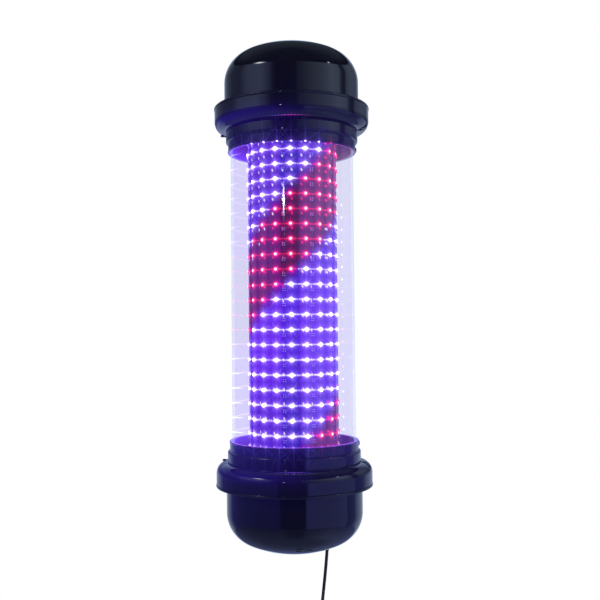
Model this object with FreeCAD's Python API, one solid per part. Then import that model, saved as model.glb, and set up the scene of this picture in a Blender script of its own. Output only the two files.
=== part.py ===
import FreeCAD, Part
import math
import os

# LED barber pole light for a wall: a clear tube between two domed end caps, a column of
# LED strips inside it, two steel wall brackets and a mains lead with its plug.
# The front faces -Y and the wall is the plane y = 0. The origin is the centre of the four
# wall holes of the upper bracket. Everything is in millimetres.

# ---- Clear tube ---------------------------------------------------------------------
TUBE_DIAMETER = 160.0
TUBE_WALL = 3.0
TUBE_SHOWING = 371.0            # between the rims of the two necks
TUBE_SOCKET = 28.0              # how deep each end stands in its collar
TUBE_CLEARANCE = 0.3            # between tube and neck, all round
TUBE_SEAL = 2.0                 # flat rubber ring under each end of the tube

# ---- Light column -------------------------------------------------------------------
PIPE_DIAMETER = 110.0
PIPE_WALL = 3.2
STRIP_COUNT = 19
STRIP_TURN = -1.9               # azimuth of the first strip, degrees
STRIP_ANGLE = 12.4              # how much of the pipe's round one strip covers, degrees
STRIP_THICKNESS = 2.6
STRIP_TUCK = 21.3               # how far each end of a strip runs on behind its collar
LED_PITCH = 18.8
LED_SIZE = 5.0
LED_STANDS = 1.6                # how far an LED stands out of its strip
LED_LIFT = 3.4                  # the rows sit this much above the tube's middle

# ---- Collar: heights are measured outwards from the rim of its neck -------------------
NECK_WALL = 2.7
BEAD_RADIUS = 1.5               # rolled bead round the neck's rim
BEAD_STANDS = 0.6
STEP_HEIGHT = 12.3
STEP_RISE = 2.8
GROOVE_WIDTH = 1.0
GROOVE_DEPTH = 0.9
SHOULDER_HEIGHT = 27.3
SHOULDER_LAND = 1.2             # flat ring between the step and the shoulder's rounding
FLANGE_WIDTH = 12.9             # from the dome's wall to the flange's edge
FLANGE_HEIGHT = 54.6
COLLAR_SKIN = 3.0
WELL_WALL = 1.5                 # round the cap screws' wells and the gasket's groove
LEDGE_THICKNESS = 6.0
LEDGE_WIDTH = 6.3
BORE_LEAD_IN = 1.0

# ---- Dome cap -------------------------------------------------------------------------
DOME_STANDS = 4.5               # the dome's wall outside the neck's
DOME_WALL = 3.0
DOME_STRAIGHT = 32.8            # upright wall above the rim
DOME_RISE = 51.7                # from the end of the upright wall to the apex
KNUCKLE_RADIUS = 41.8
RIM_OVERHANG = 0.6
RIM_THICKNESS = 3.9
RIM_ROUND = 1.5
SPIGOT_WALL = 2.7
SPIGOT_HEIGHT = 5.4
SPIGOT_CLEARANCE = 0.3
GASKET_WIDTH = 2.4
GASKET_THICKNESS = 1.5
GASKET_INSET = 1.0              # collar left standing on each side of the gasket's groove

# ---- Screws ---------------------------------------------------------------------------
CAP_SCREW_POCKET = 6.5
POCKET_EDGE = 0.9               # wall left between a pocket and the flange's edge
CAP_SCREW_POST = 3.3
CAP_SCREW_SHANK = 1.5
CAP_SCREW_HEAD = 2.9
CAP_SCREW_HEAD_HEIGHT = 2.2
POCKET_COVER = 10.6             # from a pocket's floor to the flange's face
CAP_SCREW_GRIP = 3.0            # how far a cap screw goes into the dome's rim
CAP_SCREW_AZIMUTHS = (79.0, 260.0)
RIGHT_POST_END = 31.0
LEFT_POST_END = 29.1
TUBE_SCREW_GAP = 0.2            # between a tube screw's head and the bead
TUBE_SCREW_AZIMUTHS = (98.0, 235.0)
TUBE_SCREW_HEAD = 3.9
TUBE_SCREW_HEAD_HEIGHT = 2.8
TUBE_SCREW_SHANK = 1.6
SMALL_SCREW_HEAD = 2.7
SMALL_SCREW_HEAD_HEIGHT = 1.8
SMALL_SCREW_SHANK = 1.4
SCREW_HEAD_ROUND = 0.6          # of a head's height
SCREW_TIP_GAP = 1.0             # from a screw's tip to the end of its hole
TUBE_SCREW_TIP_GAP = 0.5        # short of the tube's inner face
HOLE_CLEARANCE = 0.1
PLATE_SCREW_COUNT = 4

# ---- Carrier plates -----------------------------------------------------------------
PLATE_THICKNESS = 4.0
PLATE_CLEARANCE = 0.4
PLATE_SPIGOT = 20.0
PLATE_SPIGOT_WALL = 3.0
PLATE_HOLE = 8.0

# ---- Wall brackets ------------------------------------------------------------------
PAD_WIDTH = 64.0                # flat pad moulded on the collar's back
PAD_PROUD = 0.5                 # how far it stands out past the dome's rim
PAD_HEIGHT = 38.0
PAD_GAP = 1.6                   # between the pad and the dome's rim
BRACKET_DEPTH = 22.5            # from the pad to the wall
BRACKET_SHEET = 2.5
BRACKET_FOOT = 26.0
BRACKET_BEND = 2.0
WALL_HOLE_RADIUS = 2.75
WALL_HOLE_RISE = 24.0
BOLT_SPACING = 36.0
BOLT_SHANK = 2.5
BOLT_HEAD_FLATS = 8.0
BOLT_HEAD_HEIGHT = 3.5
BOLT_GRIP = 10.0

# ---- Electrics in the lower cap -----------------------------------------------------
DRIVER_LENGTH = 96.0
DRIVER_WIDTH = 44.0
DRIVER_HEIGHT = 30.0
CONTROLLER_LENGTH = 72.0
CONTROLLER_WIDTH = 42.0
CONTROLLER_HEIGHT = 20.0
EAR_LENGTH = 8.0
EAR_THICKNESS = 2.0
CASE_ROUND = 2.0
SLOT_PITCH = 8.0                # cooling slots along the driver's top
SLOT_WIDTH = 2.4
SLOT_DEPTH = 1.5
SLOT_MARGIN = 10.0
SLOT_SHARE = 0.7                # of the driver's width
HEADER_WIDTH = 6.0              # row of outlet pins on the controller
HEADER_HEIGHT = 4.5
HEADER_SHARE = 0.7              # of the controller's length
HEADER_OFFSET = 12.6            # from the controller's middle
BAY_GAP = 19.0                  # lane between driver and controller
FEED_CABLE_RADIUS = 2.6
FEED_CABLE_BEND = 6.5
TERMINAL_LENGTH = 30.0
TERMINAL_WIDTH = 15.0
TERMINAL_HEIGHT = 13.0
TERMINAL_POLES = 3
TERMINAL_WELL = 2.4

# ---- Rocker switch under the lower dome ----------------------------------------------
SWITCH_RADIUS = 45.0            # from the pole's axis
SWITCH_BEZEL_LENGTH = 21.4
SWITCH_BEZEL_WIDTH = 15.6
SWITCH_BEZEL_THICKNESS = 2.0
SWITCH_BEZEL_ROUND = 0.8
SWITCH_FIT = 0.4                # the dome's opening over the switch's body
SWITCH_SEAT_FIT = 1.0           # the dome's flat seat over the bezel
SWITCH_BODY_LENGTH = 19.0
SWITCH_BODY_WIDTH = 13.2
SWITCH_BODY_DEPTH = 13.0
SWITCH_SEAT = 0.6               # depth of the flat seat cut into the dome's crown
ROCKER_RADIUS = 8.3
ROCKER_WIDTH = 10.6
ROCKER_CLEARANCE = 0.3
ROCKER_SWING = 24.0             # from on to off, degrees
ROCKER_PIVOT_DEPTH = 1.0
ROCKER_RIDGE = 1.2              # how far the middle of its face stands out of the bezel
ROCKER_UNDERSIDE = 4.0
PIVOT_PIN = 0.9
PIVOT_PIN_LENGTH = 1.0
PIVOT_CLEARANCE = 0.05
PIVOT_END_GAP = 0.2
TAB_WIDTH = 4.8
TAB_THICKNESS = 0.8
TAB_LENGTH = 7.0

# ---- Mains lead -----------------------------------------------------------------------
CORD_DIAMETER = 4.2
OUTLET_X = 42.0
OUTLET_Y = 35.0                 # behind the pole's axis
OUTLET_SINK = 1.844             # depth of the flat seat cut in the lower dome's crown
OUTLET_BOSS_WALL = 3.0          # round the gland inside the dome
GLAND_SEAT_FIT = 1.0
GLAND_FLANGE = 6.5
GLAND_FLANGE_THICKNESS = 2.0
GLAND_THREAD = 4.6
GLAND_THREAD_LENGTH = 16.0
GLAND_TAPER_TOP = 4.4
GLAND_TAPER_TIP = 2.9
GLAND_LENGTH = 20.0             # outside the dome, flange and taper together
GLAND_NUT_FLATS = 14.0
GLAND_NUT_THICKNESS = 4.0
HANK_RUN = 63.0
HANK_FOLD = 12.6                # middle radius of the innermost end loops
HANK_LAYERS = 3
HANK_COLUMNS = 2
TIE_WIDTH = 9.0
TIE_THICKNESS = 1.0
TIE_ROUND = 2.0
PLUG_LENGTH = 34.0
PLUG_WIDTH = 24.0
PLUG_DEPTH = 14.0
PLUG_NECK = 5.0
PLUG_NECK_LENGTH = 12.0
PLUG_SHOULDER = 20.0            # from the plug's end to where it is full width
PLUG_ROUND = 0.3                # corner radius, of the section's smaller side
BLADE_LENGTH = 17.0
BLADE_WIDTH = 6.3
BLADE_THICKNESS = 1.5
BLADE_SPACING = 12.7
BLADE_HOLE = 1.6
BLADE_HOLE_FROM_TIP = 4.0

ARC_SHARE = 0.45                # of its shorter run, that a bend in the lead takes up

# The lead's route, measured from the tip of the gland: sideways, backwards, down.
LEAD_ROUTE = (
    (0.0, 0.0, 0.0),
    (-1.6, 0.0, -20.0),
    (-5.8, 0.4, -58.0),
    (-8.6, 0.4, -90.0),
)
# The lead's tail, measured from the bottom of the hank.
TAIL_ROUTE = (
    (0.0, 0.0, 3.0),
    (0.8, 0.0, -10.0),
    (0.0, 0.0, -26.0),
)

# ---- Worked out from the sizes above --------------------------------------------------
HALF = TUBE_SHOWING / 2
TUBE_RADIUS = TUBE_DIAMETER / 2
BORE = TUBE_RADIUS + TUBE_CLEARANCE
NECK_RADIUS = BORE + NECK_WALL
STEP_RADIUS = NECK_RADIUS + STEP_RISE
LEDGE_HEIGHT = TUBE_SOCKET + TUBE_SEAL
PLATE_SEAT = LEDGE_HEIGHT + LEDGE_THICKNESS
PLATE_TOP = PLATE_SEAT + PLATE_THICKNESS
DOME_RADIUS = NECK_RADIUS + DOME_STANDS
DOME_BORE = DOME_RADIUS - DOME_WALL
FLANGE_RADIUS = DOME_RADIUS + FLANGE_WIDTH
RIM_RADIUS = FLANGE_RADIUS + RIM_OVERHANG
SHOULDER_RADIUS = STEP_RADIUS + SHOULDER_LAND       # where the shoulder's rounding starts
SHOULDER_ROUND = FLANGE_RADIUS - SHOULDER_RADIUS
SPIGOT_RADIUS = DOME_BORE - SPIGOT_CLEARANCE
CAVITY = SPIGOT_RADIUS - SPIGOT_WALL
GROOVE_INNER = SPIGOT_RADIUS + GASKET_INSET
GROOVE_OUTER = GROOVE_INNER + GASKET_WIDTH
CHANNEL_INNER = GROOVE_OUTER + GASKET_INSET
CHANNEL_OUTER = FLANGE_RADIUS - COLLAR_SKIN
RIM_TOP = FLANGE_HEIGHT + RIM_THICKNESS
BEAD_END = BEAD_RADIUS + math.sqrt(BEAD_RADIUS ** 2 - (BEAD_RADIUS - BEAD_STANDS) ** 2)
TUBE_SCREW_HEIGHT = BEAD_END + TUBE_SCREW_GAP + TUBE_SCREW_HEAD
CAP_SCREW_CIRCLE = FLANGE_RADIUS - POCKET_EDGE - CAP_SCREW_POCKET
CAP_SCREWS = tuple(zip(CAP_SCREW_AZIMUTHS, (RIGHT_POST_END, LEFT_POST_END)))
POCKET_FLOOR = FLANGE_HEIGHT - POCKET_COVER
PIPE_RADIUS = PIPE_DIAMETER / 2
PIPE_BORE = PIPE_RADIUS - PIPE_WALL
STRIP_RADIUS = PIPE_RADIUS + STRIP_THICKNESS
STRIP_HALF = HALF + STRIP_TUCK
LED_ROWS = round(2 * STRIP_HALF / LED_PITCH - 0.49)
PAD_REACH = RIM_RADIUS + PAD_PROUD
POLE_TO_WALL = PAD_REACH + BRACKET_DEPTH            # from the pole's axis to the wall
WEB_FACE = PAD_REACH + BRACKET_SHEET
BRACKET_HEIGHT = FLANGE_HEIGHT - PAD_GAP - PAD_HEIGHT / 2   # middle of pad and bracket
WALL_HOLE_SPREAD = PAD_WIDTH + BRACKET_FOOT
BRACKET_Z = HALF + BRACKET_HEIGHT
PLATE_SCREW_CIRCLE = BORE - LEDGE_WIDTH / 2

# A domed end is a large crown arc that runs smoothly into a small knuckle arc.
KNUCKLE_HEIGHT = RIM_TOP + DOME_STRAIGHT
DOME_HEIGHT = KNUCKLE_HEIGHT + DOME_RISE
KNUCKLE_CENTRE = DOME_RADIUS - KNUCKLE_RADIUS
CROWN_RADIUS = (KNUCKLE_CENTRE ** 2 + DOME_RISE ** 2 - KNUCKLE_RADIUS ** 2) / (
    2 * (DOME_RISE - KNUCKLE_RADIUS))
CROWN_CENTRE = DOME_HEIGHT - CROWN_RADIUS
CROWN_ANGLE = math.atan2(KNUCKLE_CENTRE, KNUCKLE_HEIGHT - CROWN_CENTRE)
OUTLET_RADIUS = math.hypot(OUTLET_X, OUTLET_Y)
OUTLET_SEAT = CROWN_CENTRE + math.sqrt(CROWN_RADIUS ** 2 - OUTLET_RADIUS ** 2) - OUTLET_SINK

HANK_HALF_WIDTH = HANK_FOLD + (HANK_COLUMNS - 0.5) * CORD_DIAMETER
HANK_LENGTH = HANK_RUN + 2 * HANK_HALF_WIDTH
HANK_DEPTH = HANK_LAYERS * CORD_DIAMETER
TILT = math.degrees(math.asin(SWITCH_RADIUS / CROWN_RADIUS))

V = FreeCAD.Vector
UP = V(0, 0, 1)
AXIS = V(0, 0, 0)


# ---- Helpers --------------------------------------------------------------------------
def path(points, closed=True):
    """Edges through (r, z) points in the XZ plane. A pair of points is an arc: middle, end."""
    edges = []
    here = points[0]
    for step in points[1:] + ([points[0]] if closed else []):
        start = V(here[0], 0, here[1])
        if isinstance(step[0], tuple):
            middle, end = step
            arc = Part.Arc(start, V(middle[0], 0, middle[1]), V(end[0], 0, end[1]))
            edges.append(arc.toShape())
            here = end
        elif math.dist(here, step) > 1e-6:
            edges.append(Part.LineSegment(start, V(step[0], 0, step[1])).toShape())
            here = step
    return Part.Wire(edges)


def arc(centre, radius, start, end):
    """The middle and end points of an arc round centre; angles from the r axis, degrees."""
    def at(angle):
        a = math.radians(angle)
        return (centre[0] + radius * math.cos(a), centre[1] + radius * math.sin(a))
    return (at((start + end) / 2), at(end))


def turned(points, angle=360):
    """A solid turned about the pole's axis from a closed (r, z) outline."""
    return Part.Face(path(points)).revolve(AXIS, UP, angle)


def ring(inner, outer, low, high):
    """A plain ring, or a disc where inner is 0."""
    return turned([(inner, low), (outer, low), (outer, high), (inner, high)])


def rod(radius, low, high, x=0, y=0):
    """An upright cylinder."""
    return Part.makeCylinder(radius, high - low, V(x, y, low))


def block(size, centre):
    """A box of a size about a centre."""
    corner = V(*centre) - V(*size) * 0.5
    return Part.makeBox(size[0], size[1], size[2], corner)


def at_azimuth(shape, azimuth):
    """Turns a shape from the +X side to an azimuth: 0 is the front, 90 the right."""
    copy = shape.copy()
    copy.rotate(AXIS, UP, azimuth - 90)
    return copy


def fused(first, others):
    return first.multiFuse(others).removeSplitter()


def group(solids):
    return Part.makeCompound(solids)


def standing_edges(shape):
    """The upright edges of a block."""
    return [e for e in shape.Edges if abs(e.Vertexes[0].Z - e.Vertexes[-1].Z) > 1e-6]


def screw(head, head_height, shank, length):
    """A pan-head screw along +Z, its head's seat at z = 0 and the head below it."""
    round_off = head_height * SCREW_HEAD_ROUND
    return turned([
        (0, -head_height),
        (head - round_off, -head_height),
        arc((head - round_off, -head_height + round_off), round_off, -90, 0),
        (head, 0),
        (shank, 0),
        (shank, length),
        (0, length),
    ])


def hexagon(flats, height):
    """A hexagonal prism standing on z = 0."""
    corner = flats / math.sqrt(3)
    points = [V(corner * math.cos(math.radians(60 * i)), corner * math.sin(math.radians(60 * i)), 0)
              for i in range(6)]
    return Part.Face(Part.makePolygon(points + points[:1])).extrude(V(0, 0, height))


def rounded_route(points):
    """Straight runs joined by tangent arcs, each as large as its two runs allow."""
    points = [V(*p) for p in points]
    edges = []
    radii = []
    here = points[0]
    for before, corner, after in zip(points, points[1:], points[2:]):
        back = before - corner
        on = after - corner
        turn = math.pi - back.getAngle(on)
        reach = ARC_SHARE * min(back.Length, on.Length)
        radius = reach / math.tan(turn / 2)
        back.normalize()
        on.normalize()
        start = corner + back * reach
        end = corner + on * reach
        inward = back + on
        inward.normalize()
        middle = corner + inward * (radius / math.cos(turn / 2) - radius)
        edges.append(Part.LineSegment(here, start).toShape())
        edges.append(Part.Arc(start, middle, end).toShape())
        radii.append(radius)
        here = end
    edges.append(Part.LineSegment(here, points[-1]).toShape())
    return Part.Wire(edges), radii


def cord_along(points, radius, name):
    """A round cord along a route; prints its bends and compares its volume with its length."""
    wire, radii = rounded_route(points)
    start = V(*points[0])
    direction = V(*points[1]) - start
    section = Part.Wire(Part.makeCircle(radius, start, direction))
    solid = wire.makePipeShell([section], True, False)
    share = solid.Volume / (math.pi * radius ** 2 * wire.Length)
    print(f"{name}: {wire.Length:.1f} mm, bends {[round(r) for r in radii]}, volume {share:.4f}")
    return solid


# ---- One end, built for the top and mirrored for the bottom ------------------------------
def dome_outline(height_of_wall, inset):
    """The steps of a dome's section from its straight wall to its apex, inset from outside."""
    degrees = math.degrees(CROWN_ANGLE)
    knuckle = (KNUCKLE_CENTRE, KNUCKLE_HEIGHT)
    crown = (0, CROWN_CENTRE)
    return [
        (DOME_RADIUS - inset, height_of_wall),
        (DOME_RADIUS - inset, KNUCKLE_HEIGHT),
        arc(knuckle, KNUCKLE_RADIUS - inset, 0, 90 - degrees),
        arc(crown, CROWN_RADIUS - inset, 90 - degrees, 90),
    ]


def dome_cap():
    """The domed shell with its rim, which the cap screws hold on the collar."""
    outside = turned([
        (0, FLANGE_HEIGHT),
        (RIM_RADIUS - RIM_ROUND, FLANGE_HEIGHT),
        arc((RIM_RADIUS - RIM_ROUND, FLANGE_HEIGHT + RIM_ROUND), RIM_ROUND, -90, 0),
        (RIM_RADIUS, RIM_TOP - RIM_ROUND),
        arc((RIM_RADIUS - RIM_ROUND, RIM_TOP - RIM_ROUND), RIM_ROUND, 0, 90),
        (DOME_RADIUS + RIM_ROUND, RIM_TOP),
        arc((DOME_RADIUS + RIM_ROUND, RIM_TOP + RIM_ROUND), RIM_ROUND, 270, 180),
    ] + dome_outline(RIM_TOP + RIM_ROUND, 0)[1:])
    inside = turned([(0, FLANGE_HEIGHT)] + dome_outline(FLANGE_HEIGHT, DOME_WALL))
    pilot_holes = [
        at_azimuth(rod(CAP_SCREW_SHANK + HOLE_CLEARANCE, FLANGE_HEIGHT,
                       FLANGE_HEIGHT + CAP_SCREW_GRIP + HOLE_CLEARANCE, CAP_SCREW_CIRCLE), azimuth)
        for azimuth in CAP_SCREW_AZIMUTHS
    ]
    return outside.cut([inside] + pilot_holes)


def collar_outside():
    """The collar's outer form, solid: beaded rim, neck, step, groove, shoulder and flange."""
    bead = (NECK_RADIUS + BEAD_STANDS - BEAD_RADIUS, BEAD_RADIUS)
    bead_end = math.degrees(math.acos((BEAD_RADIUS - BEAD_STANDS) / BEAD_RADIUS))
    shoulder = (SHOULDER_RADIUS, SHOULDER_HEIGHT + SHOULDER_ROUND)
    return turned([
        (0, 0),
        (bead[0], 0),
        arc(bead, BEAD_RADIUS, -90, bead_end),
        (NECK_RADIUS, STEP_HEIGHT),
        arc((NECK_RADIUS, STEP_HEIGHT + STEP_RISE), STEP_RISE, -90, 0),
        (STEP_RADIUS, SHOULDER_HEIGHT - GROOVE_WIDTH),
        (STEP_RADIUS - GROOVE_DEPTH, SHOULDER_HEIGHT - GROOVE_WIDTH),
        (STEP_RADIUS - GROOVE_DEPTH, SHOULDER_HEIGHT),
        (shoulder[0], SHOULDER_HEIGHT),
        arc(shoulder, SHOULDER_ROUND, -90, 0),
        (FLANGE_RADIUS, FLANGE_HEIGHT),
        (0, FLANGE_HEIGHT),
    ])


def collar_channel():
    """The hollow between the collar's outer skin and its inner wall, open towards the dome."""
    centre = (SHOULDER_RADIUS, SHOULDER_HEIGHT + SHOULDER_ROUND)
    radius = SHOULDER_ROUND - COLLAR_SKIN
    start = -math.degrees(math.acos((CHANNEL_INNER - centre[0]) / radius))
    floor = centre[1] + radius * math.sin(math.radians(start))
    return turned([
        (CHANNEL_INNER, FLANGE_HEIGHT),
        (CHANNEL_INNER, floor),
        arc(centre, radius, start, 0),
        (CHANNEL_OUTER, FLANGE_HEIGHT),
    ])


def collar():
    """The moulding that holds the tube's end, the carrier plate, the dome and the bracket."""
    body = collar_outside()
    wells = [at_azimuth(rod(CAP_SCREW_POCKET + WELL_WALL, SHOULDER_HEIGHT, FLANGE_HEIGHT,
                            CAP_SCREW_CIRCLE), azimuth) for azimuth in CAP_SCREW_AZIMUTHS]
    body = body.cut(collar_channel().cut(wells))

    pockets = [at_azimuth(rod(CAP_SCREW_POCKET, 0, POCKET_FLOOR, CAP_SCREW_CIRCLE), azimuth)
               .cut(rod(STEP_RADIUS, 0, FLANGE_HEIGHT)) for azimuth in CAP_SCREW_AZIMUTHS]
    posts = [at_azimuth(rod(CAP_SCREW_POST, end, (POCKET_FLOOR + FLANGE_HEIGHT) / 2,
                            CAP_SCREW_CIRCLE), azimuth) for azimuth, end in CAP_SCREWS]
    body = body.cut(pockets)

    pad_low = BRACKET_HEIGHT - PAD_HEIGHT / 2
    pad = Part.makeBox(PAD_WIDTH, PAD_REACH, PAD_HEIGHT, V(-PAD_WIDTH / 2, 0, pad_low))
    pad = pad.cut(rod(BORE + NECK_WALL / 2, 0, FLANGE_HEIGHT))
    spigot = ring(CAVITY, SPIGOT_RADIUS, FLANGE_HEIGHT - SPIGOT_HEIGHT, FLANGE_HEIGHT + SPIGOT_HEIGHT)
    body = fused(body, posts + [pad, spigot])

    hole = BOLT_SHANK + HOLE_CLEARANCE
    bolt_holes = [Part.makeCylinder(hole, BOLT_GRIP, V(x, PAD_REACH - BOLT_GRIP, BRACKET_HEIGHT),
                                    V(0, 1, 0)) for x in (-BOLT_SPACING / 2, BOLT_SPACING / 2)]
    screw_hole = CAP_SCREW_SHANK + HOLE_CLEARANCE
    cap_holes = [at_azimuth(rod(screw_hole, 0, FLANGE_HEIGHT, CAP_SCREW_CIRCLE), azimuth)
                 for azimuth in CAP_SCREW_AZIMUTHS]
    tube_hole = TUBE_SCREW_SHANK + HOLE_CLEARANCE
    tube_holes = [at_azimuth(Part.makeCylinder(tube_hole, NECK_RADIUS, V(0, 0, TUBE_SCREW_HEIGHT),
                                               V(1, 0, 0)), azimuth)
                  for azimuth in TUBE_SCREW_AZIMUTHS]
    plate_holes = around(rod(SMALL_SCREW_SHANK + HOLE_CLEARANCE, LEDGE_HEIGHT, PLATE_SEAT,
                             PLATE_SCREW_CIRCLE))
    groove = ring(GROOVE_INNER, GROOVE_OUTER, FLANGE_HEIGHT - GASKET_THICKNESS, FLANGE_HEIGHT)
    tube_bore = turned([
        (0, 0),
        (BORE + BORE_LEAD_IN, 0),
        (BORE, BORE_LEAD_IN),
        (BORE, LEDGE_HEIGHT),
        (0, LEDGE_HEIGHT),
    ])
    cavity = ring(0, CAVITY, PLATE_SEAT, FLANGE_HEIGHT + SPIGOT_HEIGHT)
    eye = ring(0, BORE - LEDGE_WIDTH, LEDGE_HEIGHT, PLATE_SEAT)
    return body.cut([tube_bore, eye, cavity, groove] + bolt_holes + cap_holes + tube_holes
                    + plate_holes)


def around(shape):
    """Copies of a shape evenly round the axis, one for each plate screw."""
    return [at_azimuth(shape, 360 / PLATE_SCREW_COUNT * i) for i in range(PLATE_SCREW_COUNT)]


def cap_gasket():
    return ring(GROOVE_INNER, GROOVE_OUTER, FLANGE_HEIGHT - GASKET_THICKNESS, FLANGE_HEIGHT)


def tube_seal():
    return ring(TUBE_RADIUS - TUBE_WALL, TUBE_RADIUS, TUBE_SOCKET, LEDGE_HEIGHT)


def carrier_plate(extra_holes=()):
    """The plate on the collar's ledge, whose spigot centres the end of the column's pipe."""
    disc = ring(PLATE_HOLE, CAVITY - PLATE_CLEARANCE, PLATE_SEAT, PLATE_TOP)
    outer = PIPE_BORE - PLATE_CLEARANCE / 2
    spigot = ring(outer - PLATE_SPIGOT_WALL, outer, PLATE_SEAT - PLATE_SPIGOT, PLATE_SEAT)
    holes = around(rod(SMALL_SCREW_SHANK + HOLE_CLEARANCE, PLATE_SEAT, PLATE_TOP,
                       PLATE_SCREW_CIRCLE))
    return disc.fuse(spigot).removeSplitter().cut(holes + list(extra_holes))


def plate_screws():
    one = screw(SMALL_SCREW_HEAD, SMALL_SCREW_HEAD_HEIGHT, SMALL_SCREW_SHANK,
                PLATE_THICKNESS + LEDGE_THICKNESS - SCREW_TIP_GAP)
    one.rotate(AXIS, V(1, 0, 0), 180)
    one.translate(V(PLATE_SCREW_CIRCLE, 0, PLATE_TOP))
    return group(around(one))


def cap_screws():
    solids = []
    for azimuth, end in CAP_SCREWS:
        one = screw(CAP_SCREW_HEAD, CAP_SCREW_HEAD_HEIGHT, CAP_SCREW_SHANK,
                    FLANGE_HEIGHT + CAP_SCREW_GRIP - end)
        one.translate(V(CAP_SCREW_CIRCLE, 0, end))
        solids.append(at_azimuth(one, azimuth))
    return group(solids)


def tube_screws():
    """Pan-head screws through the neck that grip the tube."""
    one = screw(TUBE_SCREW_HEAD, TUBE_SCREW_HEAD_HEIGHT, TUBE_SCREW_SHANK,
                NECK_RADIUS - TUBE_RADIUS + TUBE_WALL - TUBE_SCREW_TIP_GAP)
    one.rotate(AXIS, V(0, 1, 0), -90)
    one.translate(V(NECK_RADIUS, 0, TUBE_SCREW_HEIGHT))
    return group([at_azimuth(one, azimuth) for azimuth in TUBE_SCREW_AZIMUTHS])


def wall_bracket():
    """A folded steel hat section: its web bolts to the collar, its feet to the wall."""
    half = PAD_WIDTH / 2
    foot_end = half + BRACKET_FOOT
    sheet = BRACKET_SHEET
    right = [(half - sheet, WEB_FACE), (half - sheet, POLE_TO_WALL), (foot_end, POLE_TO_WALL),
             (foot_end, POLE_TO_WALL - sheet), (half, POLE_TO_WALL - sheet), (half, PAD_REACH)]
    left = [(-x, y) for x, y in reversed(right)]
    low = BRACKET_HEIGHT - PAD_HEIGHT / 2
    points = [V(x, y, low) for x, y in right + left]
    bent = Part.Face(Part.makePolygon(points + points[:1])).extrude(V(0, 0, PAD_HEIGHT))
    inner_folds = [(half - sheet, WEB_FACE), (half, POLE_TO_WALL - sheet)]
    outer_folds = [(half, PAD_REACH), (half - sheet, POLE_TO_WALL)]
    bent = bent.makeFillet(BRACKET_BEND, upright_edges(bent, inner_folds))
    bent = bent.makeFillet(BRACKET_BEND + sheet, upright_edges(bent, outer_folds))
    holes = [Part.makeCylinder(WALL_HOLE_RADIUS, sheet, V(x, POLE_TO_WALL - sheet, BRACKET_HEIGHT + z),
                               V(0, 1, 0))
             for x in (-WALL_HOLE_SPREAD / 2, WALL_HOLE_SPREAD / 2)
             for z in (-WALL_HOLE_RISE / 2, WALL_HOLE_RISE / 2)]
    bolt = BOLT_SHANK + HOLE_CLEARANCE
    holes += [Part.makeCylinder(bolt, sheet, V(x, PAD_REACH, BRACKET_HEIGHT), V(0, 1, 0))
              for x in (-BOLT_SPACING / 2, BOLT_SPACING / 2)]
    return bent.cut(holes)


def upright_edges(shape, places):
    """The upright edges at given (x, y) places and at their mirror places."""
    def is_there(edge):
        first, last = edge.Vertexes[0].Point, edge.Vertexes[-1].Point
        upright = abs(first.x - last.x) + abs(first.y - last.y) < 1e-6
        return upright and any(abs(abs(first.x) - x) + abs(first.y - y) < 1e-6 for x, y in places)
    return [edge for edge in shape.Edges if len(edge.Vertexes) == 2 and is_there(edge)]


def bracket_bolts():
    solids = []
    for x in (-BOLT_SPACING / 2, BOLT_SPACING / 2):
        head = hexagon(BOLT_HEAD_FLATS, BOLT_HEAD_HEIGHT)
        length = BRACKET_SHEET + BOLT_GRIP - SCREW_TIP_GAP
        bolt = head.fuse(rod(BOLT_SHANK, -length, 0))
        bolt.rotate(AXIS, V(1, 0, 0), -90)
        bolt.translate(V(x, WEB_FACE, BRACKET_HEIGHT))
        solids.append(bolt)
    return group(solids)


# ---- The middle -----------------------------------------------------------------------
def clear_tube():
    reach = HALF + TUBE_SOCKET
    tube = ring(TUBE_RADIUS - TUBE_WALL, TUBE_RADIUS, -reach, reach)
    height = HALF + TUBE_SCREW_HEIGHT
    holes = [at_azimuth(Part.makeCylinder(TUBE_SCREW_SHANK + HOLE_CLEARANCE, TUBE_DIAMETER,
                                          V(0, 0, z), V(1, 0, 0)), azimuth)
             for azimuth in TUBE_SCREW_AZIMUTHS for z in (-height, height)]
    return tube.cut(holes)


def column_pipe():
    reach = HALF + PLATE_SEAT
    return ring(PIPE_BORE, PIPE_RADIUS, -reach, reach)


def led_strip():
    """One strip on the +X side of the pipe: a curved channel with its row of LEDs."""
    low = LED_LIFT - STRIP_HALF
    high = LED_LIFT + STRIP_HALF
    outline = [(PIPE_RADIUS, low), (STRIP_RADIUS, low), (STRIP_RADIUS, high), (PIPE_RADIUS, high)]
    strip = turned(outline, STRIP_ANGLE)
    strip.rotate(AXIS, UP, -STRIP_ANGLE / 2)
    sunk = STRIP_THICKNESS / 2
    lights = [block((LED_STANDS + sunk, LED_SIZE, LED_SIZE),
                    (STRIP_RADIUS + (LED_STANDS - sunk) / 2, 0,
                     LED_LIFT + LED_PITCH * (i - (LED_ROWS - 1) / 2)))
              for i in range(LED_ROWS)]
    return fused(strip, lights)


# ---- Electrics on the lower carrier plate, built for the top and mirrored ------------------
def eared_box(length, width, height, y):
    """A closed case on the plate with a screw ear at each end."""
    case = block((length, width, height), (0, y, PLATE_TOP + height / 2))
    case = case.makeFillet(CASE_ROUND, standing_edges(case))
    ears = block((length + 2 * EAR_LENGTH, width / 2, EAR_THICKNESS),
                 (0, y, PLATE_TOP + EAR_THICKNESS / 2))
    holes = [rod(SMALL_SCREW_SHANK + HOLE_CLEARANCE, PLATE_TOP, PLATE_TOP + EAR_THICKNESS, x, y)
             for x in ear_places(length)]
    return fused(case, [ears]).cut(holes)


def ear_places(length):
    return (-(length + EAR_LENGTH) / 2, (length + EAR_LENGTH) / 2)


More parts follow.
